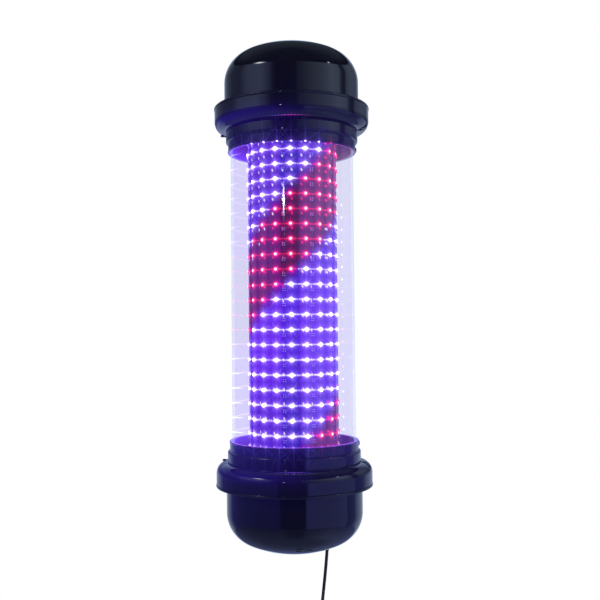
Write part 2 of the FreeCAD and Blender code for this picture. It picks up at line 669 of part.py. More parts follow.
def ear_screws(length, y):
    solids = []
    for x in ear_places(length):
        one = screw(SMALL_SCREW_HEAD, SMALL_SCREW_HEAD_HEIGHT, SMALL_SCREW_SHANK,
                    EAR_THICKNESS + PLATE_THICKNESS)
        one.rotate(AXIS, V(1, 0, 0), 180)
        one.translate(V(x, y, PLATE_TOP + EAR_THICKNESS))
        solids.append(one)
    return group(solids)


DRIVER_Y = -(BAY_GAP + DRIVER_WIDTH) / 2
CONTROLLER_Y = (BAY_GAP + CONTROLLER_WIDTH) / 2


def ear_holes():
    radius = SMALL_SCREW_SHANK + HOLE_CLEARANCE
    places = [(x, DRIVER_Y) for x in ear_places(DRIVER_LENGTH)]
    places += [(x, CONTROLLER_Y) for x in ear_places(CONTROLLER_LENGTH)]
    return [rod(radius, PLATE_SEAT, PLATE_TOP, x, y) for x, y in places]


def led_driver():
    """The power supply's case with a row of slots for its heat."""
    case = eared_box(DRIVER_LENGTH, DRIVER_WIDTH, DRIVER_HEIGHT, DRIVER_Y)
    count = int((DRIVER_LENGTH - 2 * SLOT_MARGIN) / SLOT_PITCH)
    slots = [block((SLOT_WIDTH, DRIVER_WIDTH * SLOT_SHARE, 2 * SLOT_DEPTH),
                   ((i - (count - 1) / 2) * SLOT_PITCH, DRIVER_Y, PLATE_TOP + DRIVER_HEIGHT))
             for i in range(count)]
    return case.cut(slots)


def chaser_controller():
    """The unit that runs the lights along the strips, with its row of outlet pins."""
    case = eared_box(CONTROLLER_LENGTH, CONTROLLER_WIDTH, CONTROLLER_HEIGHT, CONTROLLER_Y)
    pins = block((CONTROLLER_LENGTH * HEADER_SHARE, HEADER_WIDTH, HEADER_HEIGHT),
                 (0, CONTROLLER_Y + HEADER_OFFSET, PLATE_TOP + CONTROLLER_HEIGHT + HEADER_HEIGHT / 2))
    return fused(case, [pins])


def led_feed_cable():
    """The loom from the controller's side through the plate into the pipe."""
    level = PLATE_TOP + CONTROLLER_HEIGHT / 2
    side = CONTROLLER_Y - CONTROLLER_WIDTH / 2
    bend = FEED_CABLE_BEND
    low = PLATE_SEAT - PLATE_SPIGOT
    edges = [
        Part.LineSegment(V(0, side, level), V(0, bend, level)).toShape(),
        Part.Arc(V(0, bend, level),
                 V(0, bend * (1 - math.sin(math.pi / 4)), level - bend * (1 - math.cos(math.pi / 4))),
                 V(0, 0, level - bend)).toShape(),
        Part.LineSegment(V(0, 0, level - bend), V(0, 0, low)).toShape(),
    ]
    section = Part.Wire(Part.makeCircle(FEED_CABLE_RADIUS, V(0, side, level), V(0, 1, 0)))
    return Part.Wire(edges).makePipeShell([section], True, False)


def terminal_block():
    """A screw terminal block for the mains lead, beside the controller."""
    x = CONTROLLER_LENGTH / 2 - TERMINAL_LENGTH / 2
    body = block((TERMINAL_LENGTH, TERMINAL_WIDTH, TERMINAL_HEIGHT),
                 (x, 0, PLATE_TOP + TERMINAL_HEIGHT / 2))
    pitch = TERMINAL_LENGTH / TERMINAL_POLES
    wells = [rod(TERMINAL_WELL, PLATE_TOP + TERMINAL_HEIGHT / 2, PLATE_TOP + TERMINAL_HEIGHT,
                 x + (i - (TERMINAL_POLES - 1) / 2) * pitch) for i in range(TERMINAL_POLES)]
    return body.cut(wells)


# ---- Rocker switch, in its own frame: z out of the dome, y towards the front -----------------
def onto_crown(shape):
    """Puts a shape from the switch's own frame onto the back of the lower dome's crown."""
    copy = shape.copy()
    copy.translate(V(0, 0, CROWN_RADIUS - SWITCH_SEAT))
    copy.rotate(AXIS, V(1, 0, 0), TILT - 180)
    copy.translate(V(0, 0, -(HALF + CROWN_CENTRE)))
    return copy


def along_x(radius, width, y=0, z=0):
    return Part.makeCylinder(radius, width, V(-width / 2, y, z), V(1, 0, 0))


def switch_housing():
    thick = SWITCH_BEZEL_THICKNESS
    bezel = block((SWITCH_BEZEL_WIDTH, SWITCH_BEZEL_LENGTH, thick), (0, 0, thick / 2))
    top_edges = [e for e in bezel.Edges if min(v.Z for v in e.Vertexes) > thick - 1e-6]
    bezel = bezel.makeFillet(SWITCH_BEZEL_ROUND, top_edges)
    body = block((SWITCH_BODY_WIDTH, SWITCH_BODY_LENGTH, SWITCH_BODY_DEPTH),
                 (0, 0, -SWITCH_BODY_DEPTH / 2))
    pivot = thick - ROCKER_PIVOT_DEPTH
    well = along_x(ROCKER_RADIUS + ROCKER_CLEARANCE, ROCKER_WIDTH + 2 * ROCKER_CLEARANCE, 0, pivot)
    pins = along_x(PIVOT_PIN + PIVOT_CLEARANCE,
                   ROCKER_WIDTH + 2 * (PIVOT_PIN_LENGTH + PIVOT_END_GAP), 0, pivot)
    return fused(bezel, [body]).cut([well, pins])


def switch_rocker():
    """A drum slice with two flats for a face and a pivot pin on each side, at rest in on."""
    pivot = SWITCH_BEZEL_THICKNESS - ROCKER_PIVOT_DEPTH
    drum = along_x(ROCKER_RADIUS, ROCKER_WIDTH, 0, pivot)
    ridge = SWITCH_BEZEL_THICKNESS + ROCKER_RIDGE
    reach = ROCKER_RADIUS + 1
    rise = reach * math.tan(math.radians(ROCKER_SWING / 2))
    outline = [V(-ROCKER_WIDTH / 2, y, z) for y, z in (
        (-reach, ridge + rise), (0, ridge), (reach, ridge + rise),
        (reach, pivot - ROCKER_UNDERSIDE), (-reach, pivot - ROCKER_UNDERSIDE))]
    wedge = Part.Face(Part.makePolygon(outline + outline[:1])).extrude(V(ROCKER_WIDTH, 0, 0))
    pins = along_x(PIVOT_PIN, ROCKER_WIDTH + 2 * PIVOT_PIN_LENGTH, 0, pivot)
    rocker = fused(drum.common(wedge), [pins])
    rocker.rotate(V(0, 0, pivot), V(1, 0, 0), -ROCKER_SWING / 2)
    return rocker


def switch_terminals():
    return group([block((TAB_WIDTH, TAB_THICKNESS, TAB_LENGTH),
                        (0, y, -SWITCH_BODY_DEPTH - TAB_LENGTH / 2))
                  for y in (-SWITCH_BODY_LENGTH / 3, 0, SWITCH_BODY_LENGTH / 3)])


# ---- Mains lead ------------------------------------------------------------------------
SEAT_Z = -(HALF + OUTLET_SEAT)
GLAND_TIP = (OUTLET_X, OUTLET_Y, SEAT_Z - GLAND_LENGTH)
LEAD = [tuple(GLAND_TIP[i] + p[i] for i in range(3)) for p in LEAD_ROUTE]
HANK_TOP = LEAD[-1][2] + HANK_HALF_WIDTH
HANK_X = LEAD[-1][0] - HANK_FOLD
HANK_Y = LEAD[-1][1]
HANK_BOTTOM = HANK_TOP - HANK_LENGTH


def lower_dome_cap():
    """The lower dome with its switch opening and its seat for the cord gland."""
    dome = mirrored(dome_cap())
    apex = -(HALF + DOME_HEIGHT)
    seat = rod(GLAND_FLANGE + GLAND_SEAT_FIT, apex, SEAT_Z, OUTLET_X, OUTLET_Y)
    boss = rod(GLAND_FLANGE + OUTLET_BOSS_WALL, SEAT_Z, SEAT_Z + 2 * DOME_WALL, OUTLET_X, OUTLET_Y)
    dome_outside = mirrored(turned([(0, FLANGE_HEIGHT)] + dome_outline(FLANGE_HEIGHT, DOME_WALL / 3)))
    boss = boss.common(dome_outside)
    thread = rod(GLAND_THREAD + HOLE_CLEARANCE, apex, SEAT_Z + 2 * DOME_WALL, OUTLET_X, OUTLET_Y)
    bezel_seat = block((SWITCH_BEZEL_WIDTH + SWITCH_SEAT_FIT, SWITCH_BEZEL_LENGTH + SWITCH_SEAT_FIT,
                        2 * DOME_WALL), (0, 0, DOME_WALL))
    opening = block((SWITCH_BODY_WIDTH + SWITCH_FIT, SWITCH_BODY_LENGTH + SWITCH_FIT,
                     4 * DOME_WALL), (0, 0, 0))
    return fused(dome, [boss]).cut([seat, thread, onto_crown(bezel_seat), onto_crown(opening)])


def cord_gland():
    """The gland and its tapered strain relief in one moulding, bored for the lead."""
    tip = -GLAND_LENGTH
    shape = turned([
        (0, tip),
        (GLAND_TAPER_TIP, tip),
        (GLAND_TAPER_TOP, -GLAND_FLANGE_THICKNESS),
        (GLAND_FLANGE, -GLAND_FLANGE_THICKNESS),
        (GLAND_FLANGE, 0),
        (GLAND_THREAD, 0),
        (GLAND_THREAD, GLAND_THREAD_LENGTH),
        (0, GLAND_THREAD_LENGTH),
    ])
    shape.translate(V(OUTLET_X, OUTLET_Y, SEAT_Z))
    return shape


def gland_nut():
    nut = hexagon(GLAND_NUT_FLATS, GLAND_NUT_THICKNESS)
    nut = nut.cut(rod(GLAND_THREAD, 0, GLAND_NUT_THICKNESS))
    nut.translate(V(OUTLET_X, OUTLET_Y, SEAT_Z + 2 * DOME_WALL))
    return nut


def hank_form(grow, depth, length):
    """An upright flat-sided form with round ends, in the XZ plane."""
    half = HANK_HALF_WIDTH + grow
    straight = length / 2 - HANK_HALF_WIDTH
    outline = path([
        (half, -straight),
        (half, straight),
        arc((0, straight), half, 0, 180),
        (-half, -straight),
        arc((0, -straight), half, 180, 360),
    ], closed=False)
    solid = Part.Face(outline).extrude(V(0, depth, 0))
    solid.translate(V(0, -depth / 2, 0))
    return solid


def placed_hank(shape):
    shape.translate(V(HANK_X, HANK_Y, (HANK_TOP + HANK_BOTTOM) / 2))
    return shape


def cord_hank():
    """The outer form of the put-away part of the lead."""
    return placed_hank(hank_form(0, HANK_DEPTH, HANK_LENGTH))


def hank_tie():
    """A soft strap once round the hank's waist."""
    width = 2 * (HANK_HALF_WIDTH + TIE_THICKNESS)
    outside = block((width, HANK_DEPTH + 2 * TIE_THICKNESS, TIE_WIDTH), (0, 0, 0))
    outside = outside.makeFillet(TIE_ROUND, standing_edges(outside))
    inside = block((2 * HANK_HALF_WIDTH, HANK_DEPTH, TIE_WIDTH), (0, 0, 0))
    return placed_hank(outside.cut(inside))


def mains_cord():
    """The hanging part of the lead and the tail between its hank and its plug."""
    lead = cord_along(LEAD, CORD_DIAMETER / 2, "lead")
    tail = cord_along(TAIL, CORD_DIAMETER / 2, "tail")
    return group([lead, tail])


TAIL = [(HANK_X + p[0], HANK_Y + p[1], HANK_BOTTOM + p[2]) for p in TAIL_ROUTE]
PLUG_TOP = TAIL[-1]


def plug_body():
    """A two-pin plug: a flat-sided body that narrows to a round neck for the lead."""
    def section(width, depth, z):
        prism = block((width, depth, 1), (0, 0, z + 0.5))
        prism = prism.makeFillet(PLUG_ROUND * min(width, depth), standing_edges(prism))
        return min(prism.Faces, key=lambda f: f.CenterOfMass.z).OuterWire
    neck = 2 * PLUG_NECK
    loft = Part.makeLoft([
        section(neck, neck, 0),
        section(neck, neck, -PLUG_NECK_LENGTH),
        section(PLUG_WIDTH, PLUG_DEPTH, -PLUG_SHOULDER),
        section(PLUG_WIDTH, PLUG_DEPTH, -PLUG_LENGTH),
    ], True, True)
    loft.translate(V(*PLUG_TOP))
    return loft


def plug_blades():
    top = PLUG_TOP[2] - PLUG_LENGTH
    blades = []
    for side in (-1, 1):
        x = PLUG_TOP[0] + side * BLADE_SPACING / 2
        blade = block((BLADE_THICKNESS, BLADE_WIDTH, BLADE_LENGTH),
                      (x, PLUG_TOP[1], top - BLADE_LENGTH / 2))
        hole = Part.makeCylinder(BLADE_HOLE, BLADE_THICKNESS,
                                 V(x - BLADE_THICKNESS / 2, PLUG_TOP[1],
                                   top - BLADE_LENGTH + BLADE_HOLE_FROM_TIP), V(1, 0, 0))
        blades.append(blade.cut(hole))
    return group(blades)


# ---- The whole pole ----------------------------------------------------------------------
def mirrored(shape):
    """The lower end's copy of a piece of the upper end, in heights from the tube's middle."""
    copy = shape.copy()
    copy.translate(V(0, 0, HALF))
    return copy.mirror(AXIS, UP)


def raised(shape):
    copy = shape.copy()
    copy.translate(V(0, 0, HALF))
    return copy


def all_nodes():
    nodes = {
        "upper_dome_cap": raised(dome_cap()),
        "lower_dome_cap": lower_dome_cap(),
        "clear_tube": clear_tube(),
        "column_pipe": column_pipe(),
        "upper_carrier_plate": raised(carrier_plate()),
        "lower_carrier_plate": mirrored(carrier_plate(ear_holes())),
        "led_driver": mirrored(led_driver()),
        "driver_screws": mirrored(ear_screws(DRIVER_LENGTH, DRIVER_Y)),
        "chaser_controller": mirrored(chaser_controller()),
        "controller_screws": mirrored(ear_screws(CONTROLLER_LENGTH, CONTROLLER_Y)),
        "led_feed_cable": mirrored(led_feed_cable()),
        "terminal_block": mirrored(terminal_block()),
        "switch_housing": onto_crown(switch_housing()),
        "switch_rocker": onto_crown(switch_rocker()),
        "switch_terminals": onto_crown(switch_terminals()),
        "cord_gland": cord_gland(),
        "gland_nut": gland_nut(),
        "mains_cord": mains_cord(),
        "cord_hank": cord_hank(),
        "hank_tie": hank_tie(),
        "plug_body": plug_body(),
        "plug_blades": plug_blades(),
    }
    both_ends = {
        "collar": collar,
        "cap_gasket": cap_gasket,
        "tube_seal": tube_seal,
        "wall_bracket": wall_bracket,
        "bracket_bolts": bracket_bolts,
        "cap_screws": cap_screws,
        "tube_screws": tube_screws,
        "plate_screws": plate_screws,
    }
    for name, make in both_ends.items():
        shape = make()
        nodes["upper_" + name] = raised(shape)
        nodes["lower_" + name] = mirrored(shape)
    strip = led_strip()
    for i in range(STRIP_COUNT):
        nodes[f"led_strip_{i + 1:02d}"] = at_azimuth(strip, STRIP_TURN + 360 / STRIP_COUNT * i)
    return nodes


os.makedirs("parts", exist_ok=True)
to_origin = V(0, -POLE_TO_WALL, -BRACKET_Z)
for node, solid in all_nodes().items():
    solid.translate(to_origin)
    solid.exportStep(f"parts/{node}.step")
    print(node, "solids", len(solid.Solids), "valid", solid.isValid(), "volume", round(solid.Volume))

pivot = V(0, 0, SWITCH_BEZEL_THICKNESS - ROCKER_PIVOT_DEPTH)
pivot = onto_crown(Part.Vertex(pivot)).Point + to_origin
print("rocker pivot", [round(c, 4) for c in pivot], "swing", ROCKER_SWING)
print("wall holes", WALL_HOLE_SPREAD, "by", WALL_HOLE_RISE, "lower pattern at z", -2 * BRACKET_Z)
print("gland tip", [round(c + d, 2) for c, d in zip(GLAND_TIP, to_origin)])
print("crown radius", round(CROWN_RADIUS, 2), "hank", HANK_LENGTH, 2 * HANK_HALF_WIDTH, HANK_DEPTH)
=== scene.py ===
# %% [markdown]
# # A lit barber pole, dressed in Blender
# The pole hangs on a wall: two glossy domed caps hold a clear tube, and a black column with
# nineteen strips of light-emitting diodes stands inside it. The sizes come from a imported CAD
# model, which is loaded first. Every Blender piece is fitted round it and rides on its bodies.

# %% Load the frame
import math

import bmesh
import bpy
from mathutils import Matrix, Vector


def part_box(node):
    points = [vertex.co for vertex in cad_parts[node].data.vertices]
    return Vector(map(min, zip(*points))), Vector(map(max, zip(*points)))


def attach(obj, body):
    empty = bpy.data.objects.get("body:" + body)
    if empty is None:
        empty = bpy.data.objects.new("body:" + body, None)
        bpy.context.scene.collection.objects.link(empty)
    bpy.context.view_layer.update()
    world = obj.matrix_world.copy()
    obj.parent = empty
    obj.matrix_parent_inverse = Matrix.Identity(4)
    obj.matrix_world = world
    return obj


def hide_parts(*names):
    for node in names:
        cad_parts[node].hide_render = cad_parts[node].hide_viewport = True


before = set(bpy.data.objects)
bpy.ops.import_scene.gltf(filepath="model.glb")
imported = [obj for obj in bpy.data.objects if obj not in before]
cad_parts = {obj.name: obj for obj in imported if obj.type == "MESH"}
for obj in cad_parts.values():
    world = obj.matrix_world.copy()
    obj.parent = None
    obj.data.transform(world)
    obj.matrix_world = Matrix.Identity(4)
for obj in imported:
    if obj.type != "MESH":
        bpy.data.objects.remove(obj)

MM = 0.001
DEGREE = math.radians(1)
scene = bpy.context.scene
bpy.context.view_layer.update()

# %% [markdown]
# ## Where things are
# Both ends of the pole are alike, so most heights are counted outwards from the rim of each
# neck, where the tube comes out of its collar. The rims and the pole's axis are read from
# the boxes of the CAD nodes, so a new size in the CAD model moves the looks with it.

# %% Measures read from the frame
PIPE_LOW, PIPE_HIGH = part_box("column_pipe")
AXIS = Vector(((PIPE_LOW.x + PIPE_HIGH.x) / 2, (PIPE_LOW.y + PIPE_HIGH.y) / 2, 0))
UPPER_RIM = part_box("upper_collar")[0].z
LOWER_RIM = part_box("lower_collar")[1].z
MIDDLE = (UPPER_RIM + LOWER_RIM) / 2
HALF = (UPPER_RIM - LOWER_RIM) / 2
TUBE_LOW, TUBE_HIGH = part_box("clear_tube")
TUBE_RADIUS = (TUBE_HIGH.x - TUBE_LOW.x) / 2
COLLAR_LOW, COLLAR_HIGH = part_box("upper_collar")
FLANGE_RADIUS = (COLLAR_HIGH.x - COLLAR_LOW.x) / 2
DOME_LOW, DOME_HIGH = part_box("upper_dome_cap")
RIM_RADIUS = (DOME_HIGH.x - DOME_LOW.x) / 2
DOME_HEIGHT = DOME_HIGH.z - UPPER_RIM
STRIP_LOW, STRIP_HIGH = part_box("led_strip_01")
print("rims", round(UPPER_RIM, 4), round(LOWER_RIM, 4), "tube radius", round(TUBE_RADIUS, 4))

# %% [markdown]
# ## The camera
# A product camera stands a little over a metre in front of the pole, slightly below its
# middle, and looks up by two degrees. A camera object needs no body, because it is no part
# of the pole. Its turn is written as two rotations: lift the view up to the horizon, and
# then roll it half a degree, as a hand-held camera does.

# %% Camera
CAMERA_DISTANCE = 1.1436
CAMERA_SIDE = 0.009
CAMERA_BELOW_MIDDLE = 0.0436
CAMERA_PITCH = 1.92 * DEGREE
CAMERA_ROLL = -0.52 * DEGREE
LENS_MILLIMETRES = 52.77
SENSOR_MILLIMETRES = 36

camera_data = bpy.data.cameras.new("studio_camera")
camera_data.lens = LENS_MILLIMETRES
camera_data.sensor_width = SENSOR_MILLIMETRES
camera = bpy.data.objects.new("studio_camera", camera_data)
scene.collection.objects.link(camera)
camera.location = AXIS + Vector((CAMERA_SIDE, -CAMERA_DISTANCE, MIDDLE - CAMERA_BELOW_MIDDLE))
camera_turn = Matrix.Rotation(math.pi / 2 + CAMERA_PITCH, 4, "X") @ Matrix.Rotation(CAMERA_ROLL, 4, "Z")
camera.rotation_euler = camera_turn.to_euler()
scene.camera = camera
print("camera at", [round(c, 3) for c in camera.location])

# %% [markdown]
# ## The mains lead
# The lead is a 4.2 mm round cord. It drops out of the lower dome, hangs free, and the
# length that nobody needs is folded into a neat hank with the plug below it. A cord is best
# made as one open NURBS curve with a round bevel: the points pull the line and never kink
# it. The order and the end points are set after the points are there, because set before
# them they leave the curve at straight runs.

# %% The lead's route
CORD_DIAMETER = 4.2 * MM
CORD_EXIT = Vector((0.0420, -0.0890, -0.5560))
LEAD_ROUTE = (
    tuple(CORD_EXIT),
    (0.0404, -0.0890, -0.5760),
    (0.0362, -0.0886, -0.6140),
    (0.0334, -0.0886, -0.6400),
)
HANK_CENTRE = Vector((0.0208, -0.0886, -0.6775))
HANK_RUN = 63 * MM
HANK_INNER = 13.3 * MM
TAIL_ROUTE = (
    (0.0334, -0.0940, -0.6980),
    (0.0310, -0.0985, -0.7160),
    (0.0255, -0.0975, -0.7320),
    (0.0212, -0.0905, -0.7440),
    (0.0208, -0.0886, -0.7570),
)
FOLD_STEPS = 10


def hank_turns():
    """Points of six turns: down the right run, round the foot, up the left, over the top."""
    turns = [(0, 0), (0, 1), (1, 1), (1, 0), (1, -1), (0, -1)]
    points = []
    for number, (column, layer) in enumerate(turns):
        radius = HANK_INNER + column * CORD_DIAMETER
        last = turns[min(number + 1, len(turns) - 1)]
        next_radius = HANK_INNER + last[0] * CORD_DIAMETER
        pull = 1 / math.cos(math.pi / (2 * FOLD_STEPS))
        y = HANK_CENTRE.y + layer * CORD_DIAMETER
        next_y = HANK_CENTRE.y + last[1] * CORD_DIAMETER
        points.append((HANK_CENTRE.x + radius, y, HANK_CENTRE.z))
        for step in range(FOLD_STEPS):
            a = -math.pi * (step + 0.5) / FOLD_STEPS
            points.append((HANK_CENTRE.x + radius * pull * math.cos(a), y,
                           HANK_CENTRE.z - HANK_RUN / 2 + radius * pull * math.sin(a)))
        points.append((HANK_CENTRE.x - radius, y, HANK_CENTRE.z))
        for step in range(FOLD_STEPS):
            share = (step + 0.5) / FOLD_STEPS
            a = math.pi * (1 - share)
            r = radius + (next_radius - radius) * share
            points.append((HANK_CENTRE.x + r * pull * math.cos(a), y + (next_y - y) * share,
                           HANK_CENTRE.z + HANK_RUN / 2 + r * pull * math.sin(a)))
    return points


cord_points = [*LEAD_ROUTE, *hank_turns(), *TAIL_ROUTE]
cord_curve = bpy.data.curves.new("mains_lead", "CURVE")
cord_curve.dimensions = "3D"
cord_spline = cord_curve.splines.new("NURBS")
cord_spline.points.add(len(cord_points) - 1)
for point, place in zip(cord_spline.points, cord_points):
    point.co = (*place, 1)
cord_spline.order_u = 3
cord_spline.use_endpoint_u = True
cord_spline.resolution_u = 6
cord_curve.bevel_resolution = 4
cord_curve.use_fill_caps = True


def curve_mesh(curve, depth):
    """The mesh of a curve with a bevel of that depth; a depth of 0 gives its bare line."""
    curve.bevel_depth = depth
    holder = bpy.data.objects.new("holder", curve)
    mesh = bpy.data.meshes.new_from_object(holder)
    bpy.data.objects.remove(holder)
    return mesh


line = curve_mesh(cord_curve, 0)
cord_mesh = curve_mesh(cord_curve, CORD_DIAMETER / 2)
cord_form = bmesh.new()
cord_form.from_mesh(cord_mesh)
bmesh.ops.remove_doubles(cord_form, verts=cord_form.verts, dist=0.01 * MM)
cord_form.to_mesh(cord_mesh)
cord_form.free()
cord_mesh.name = "mains_lead"
mains_lead = bpy.data.objects.new("mains_lead", cord_mesh)
scene.collection.objects.link(mains_lead)
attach(mains_lead, "pole")
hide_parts("mains_cord", "cord_hank")

# %% [markdown]
# ## Small helpers for node trees
# Every finish below is a little network of nodes. It reads best as plain formulas, so the
# output of a node is held by a `Wire`: arithmetic on wires adds Math nodes, or Vector Math
# nodes where a colour or a vector takes part. `feed` sets a socket or links a wire to it.

# %% Wires: outputs of nodes that can be reckoned with
def step(operation, swapped=False):
    """A method for Wire that does one step of arithmetic."""
    return lambda self, other: calc(operation, *((other, self) if swapped else (self, other)))


class Wire:
    """A number, a colour or a vector that comes out of a node."""

    def __init__(self, socket):
        self.socket = socket
        self.tree = socket.id_data

    __add__ = step("ADD")
    __sub__ = step("SUBTRACT")
    __rsub__ = step("SUBTRACT", swapped=True)
    __truediv__ = step("DIVIDE")
    __rtruediv__ = step("DIVIDE", swapped=True)
    __lt__ = step("LESS_THAN")
    __gt__ = step("GREATER_THAN")

    def __mul__(self, other):
        if is_colour(self) == is_colour(other):
            return calc("MULTIPLY", self, other)
        return calc("SCALE", *((self, other) if is_colour(self) else (other, self)))

    __rmul__ = __mul__

    def __abs__(self):
        return calc("ABSOLUTE", self)


def is_colour(value):
    """Whether a value holds three numbers: a colour or a vector."""
    return isinstance(value, tuple) or isinstance(value, Wire) and value.socket.type in ("RGBA", "VECTOR")


def feed(socket, value):
    """Links a wire into a socket, or sets the socket's own value."""
    if isinstance(value, Wire):
        socket.id_data.links.new(value.socket, socket)
    elif socket.type == "RGBA":
        socket.default_value = (*value, 1)
    else:
        socket.default_value = value


def calc(operation, *values):
    """One step of arithmetic; its result."""
    tree = next(value.tree for value in values if isinstance(value, Wire))
    node = tree.nodes.new("ShaderNodeVectorMath" if any(map(is_colour, values)) else "ShaderNodeMath")
    node.operation = operation
    sockets = (node.inputs[0], node.inputs["Scale"]) if operation == "SCALE" else node.inputs
    for socket, value in zip(sockets, values):
        feed(socket, value)
    return Wire(node.outputs[0])


# %% Formulas: the steps that have no sign of their own
def largest(first, second):
    """The larger of two values."""
    return calc("MAXIMUM", first, second)


def span(across, along):
    """How far apart two places are, from their differences both ways."""
    return calc("SQRT", across * across + along * along)


def clamped(value):
    """Keeps the result of a step between 0 and 1."""
    value.socket.node.use_clamp = True
    return value


def fade(value, start, width):
    """0 up to a start and 1 from a width further on; a negative width fades the other way."""
    return clamped((value - start) / width)


def colour(red, green, blue):
    """A linear colour from display values of 0 to 255."""
    def linear(value):
        share = value / 255
        return share / 12.92 if share <= 0.04045 else ((share + 0.055) / 1.055) ** 2.4
    return linear(red), linear(green), linear(blue)


def mix(factor, first, second):
    """The first colour where the factor is 0, running into the second where it is 1."""
    node = factor.tree.nodes.new("ShaderNodeMix")
    node.data_type = "RGBA"
    # A Mix node holds sockets for every kind of data; numbers 6 and 7 take the colours.
    for number, value in ((0, factor), (6, first), (7, second)):
        feed(node.inputs[number], value)
    return Wire(node.outputs[2])


def ramp(factor, *stops):
    """One Color Ramp through (place, colour or grey) stops; its result."""
    node = factor.tree.nodes.new("ShaderNodeValToRGB")
    feed(node.inputs[0], factor)
    elements = node.color_ramp.elements
    while len(elements) < len(stops):
        elements.new(0.5)
    for element, (place, shade) in zip(elements, stops):
        element.position = place
        element.color = (*shade, 1) if isinstance(shade, tuple) else (shade, shade, shade, 1)
    return Wire(node.outputs[0])


# %% Nodes that read, split and group
def noise(vector, scale, detail, roughness=0.5):
    """One Noise Texture; its value."""
    node = vector.tree.nodes.new("ShaderNodeTexNoise")
    for name, value in (("Vector", vector), ("Scale", scale), ("Detail", detail), ("Roughness", roughness)):
        feed(node.inputs[name], value)
    return Wire(node.outputs["Fac"])


def reading(tree, kind, output):
    """What a new node of a kind reads from the scene, such as coordinates."""
    return Wire(tree.nodes.new("ShaderNode" + kind).outputs[output])


def object_place(tree):
    """Object coordinates, which are the same as places on the real pole, in metres."""
    return reading(tree, "TexCoord", "Object")


def split(vector):
    """The three numbers of a vector."""
    node = vector.tree.nodes.new("ShaderNodeSeparateXYZ")
    feed(node.inputs[0], vector)
    return [Wire(socket) for socket in node.outputs]


def join(x, y, z):
    """A vector of three numbers."""
    tree = next(value.tree for value in (x, y, z) if isinstance(value, Wire))
    node = tree.nodes.new("ShaderNodeCombineXYZ")
    for socket, value in zip(node.inputs, (x, y, z)):
        feed(socket, value)
    return Wire(node.outputs[0])


def shader_group(name, inputs, outputs):
    """An empty shader group; its wires in, by name, and its sockets out."""
    group = bpy.data.node_groups.new(name, "ShaderNodeTree")
    for socket_name, value in inputs.items():
        kind = "NodeSocketColor" if is_colour(value) else "NodeSocketFloat"
        socket = group.interface.new_socket(socket_name, in_out="INPUT", socket_type=kind)
        socket.default_value = (*value, 1) if is_colour(value) else value
    for socket_name in outputs:
        kind = "NodeSocketColor" if socket_name in ("Colour", "Glow") else "NodeSocketFloat"
        group.interface.new_socket(socket_name, in_out="OUTPUT", socket_type=kind)
    given = {socket.name: Wire(socket) for socket in group.nodes.new("NodeGroupInput").outputs}
    print("group", name)
    return group, given, group.nodes.new("NodeGroupOutput").inputs


def use_group(tree, group, **values):
    """Places a shader group in a tree with its own values; its outputs by name."""
    node = tree.nodes.new("ShaderNodeGroup")
    node.node_tree = group
    for name, value in values.items():
        feed(node.inputs[name.replace("_", " ").capitalize()], value)
    return {socket.name: Wire(socket) for socket in node.outputs}


# %% [markdown]
# ## Shared finishes
# A finish that more than one material needs is made once, as a shader group, and each
# material places it with its own values. Moulded plastic is never quite flat: it has a slow
# ripple where it shrank, a fine grain, and a film of dust on whatever faces up.

# %% Shader group: moulded plastic
moulded, given, out = shader_group("moulded_plastic", {
    "Grain size": 1 * MM, "Ripple size": 60 * MM, "Gloss": 0.1, "Dust": 0.1, "Colour": (0.1, 0.1, 0.1),
}, ("Colour", "Roughness", "Height"))
place = object_place(moulded)
ripple = noise(place, 1 / given["Ripple size"], 1)
grain = noise(place, 1 / given["Grain size"], 3)
facing_up = split(reading(moulded, "NewGeometry", "Normal"))[2]
dust = largest(facing_up, 0) * noise(place, 55, 6, 0.7) * given["Dust"]
smear = (noise(place, 38, 5, 0.65) - 0.5) * 0.12
feed(out["Colour"], mix(dust, given["Colour"], colour(176, 172, 166)))
feed(out["Roughness"], given["Gloss"] + smear * given["Gloss"] + dust * 0.5)
feed(out["Height"], ripple * 0.25 + grain * 0.02)

# %% [markdown]
# Rolled steel sheet shows drawn-out marks along the way it was rolled, and a few rounder
# stains. Stretching the coordinates before the noise makes the marks long.

# %% Shader group: rolled steel
rolled, given, out = shader_group("rolled_steel", {
    "Stretch": 14.0, "Colour": (0.5, 0.5, 0.5), "Gloss": 0.35,
}, ("Colour", "Roughness", "Height"))
place = object_place(rolled)
x, y, z = split(place)
marks = noise(join(x, y, z * given["Stretch"]), 160, 4, 0.6)
stains = noise(place, 45, 3, 0.6)
feed(out["Colour"], mix((marks * 0.5 + stains * 0.5) * 0.6, given["Colour"], colour(92, 95, 99)))
feed(out["Roughness"], given["Gloss"] + (marks - 0.5) * 0.3)
feed(out["Height"], marks)
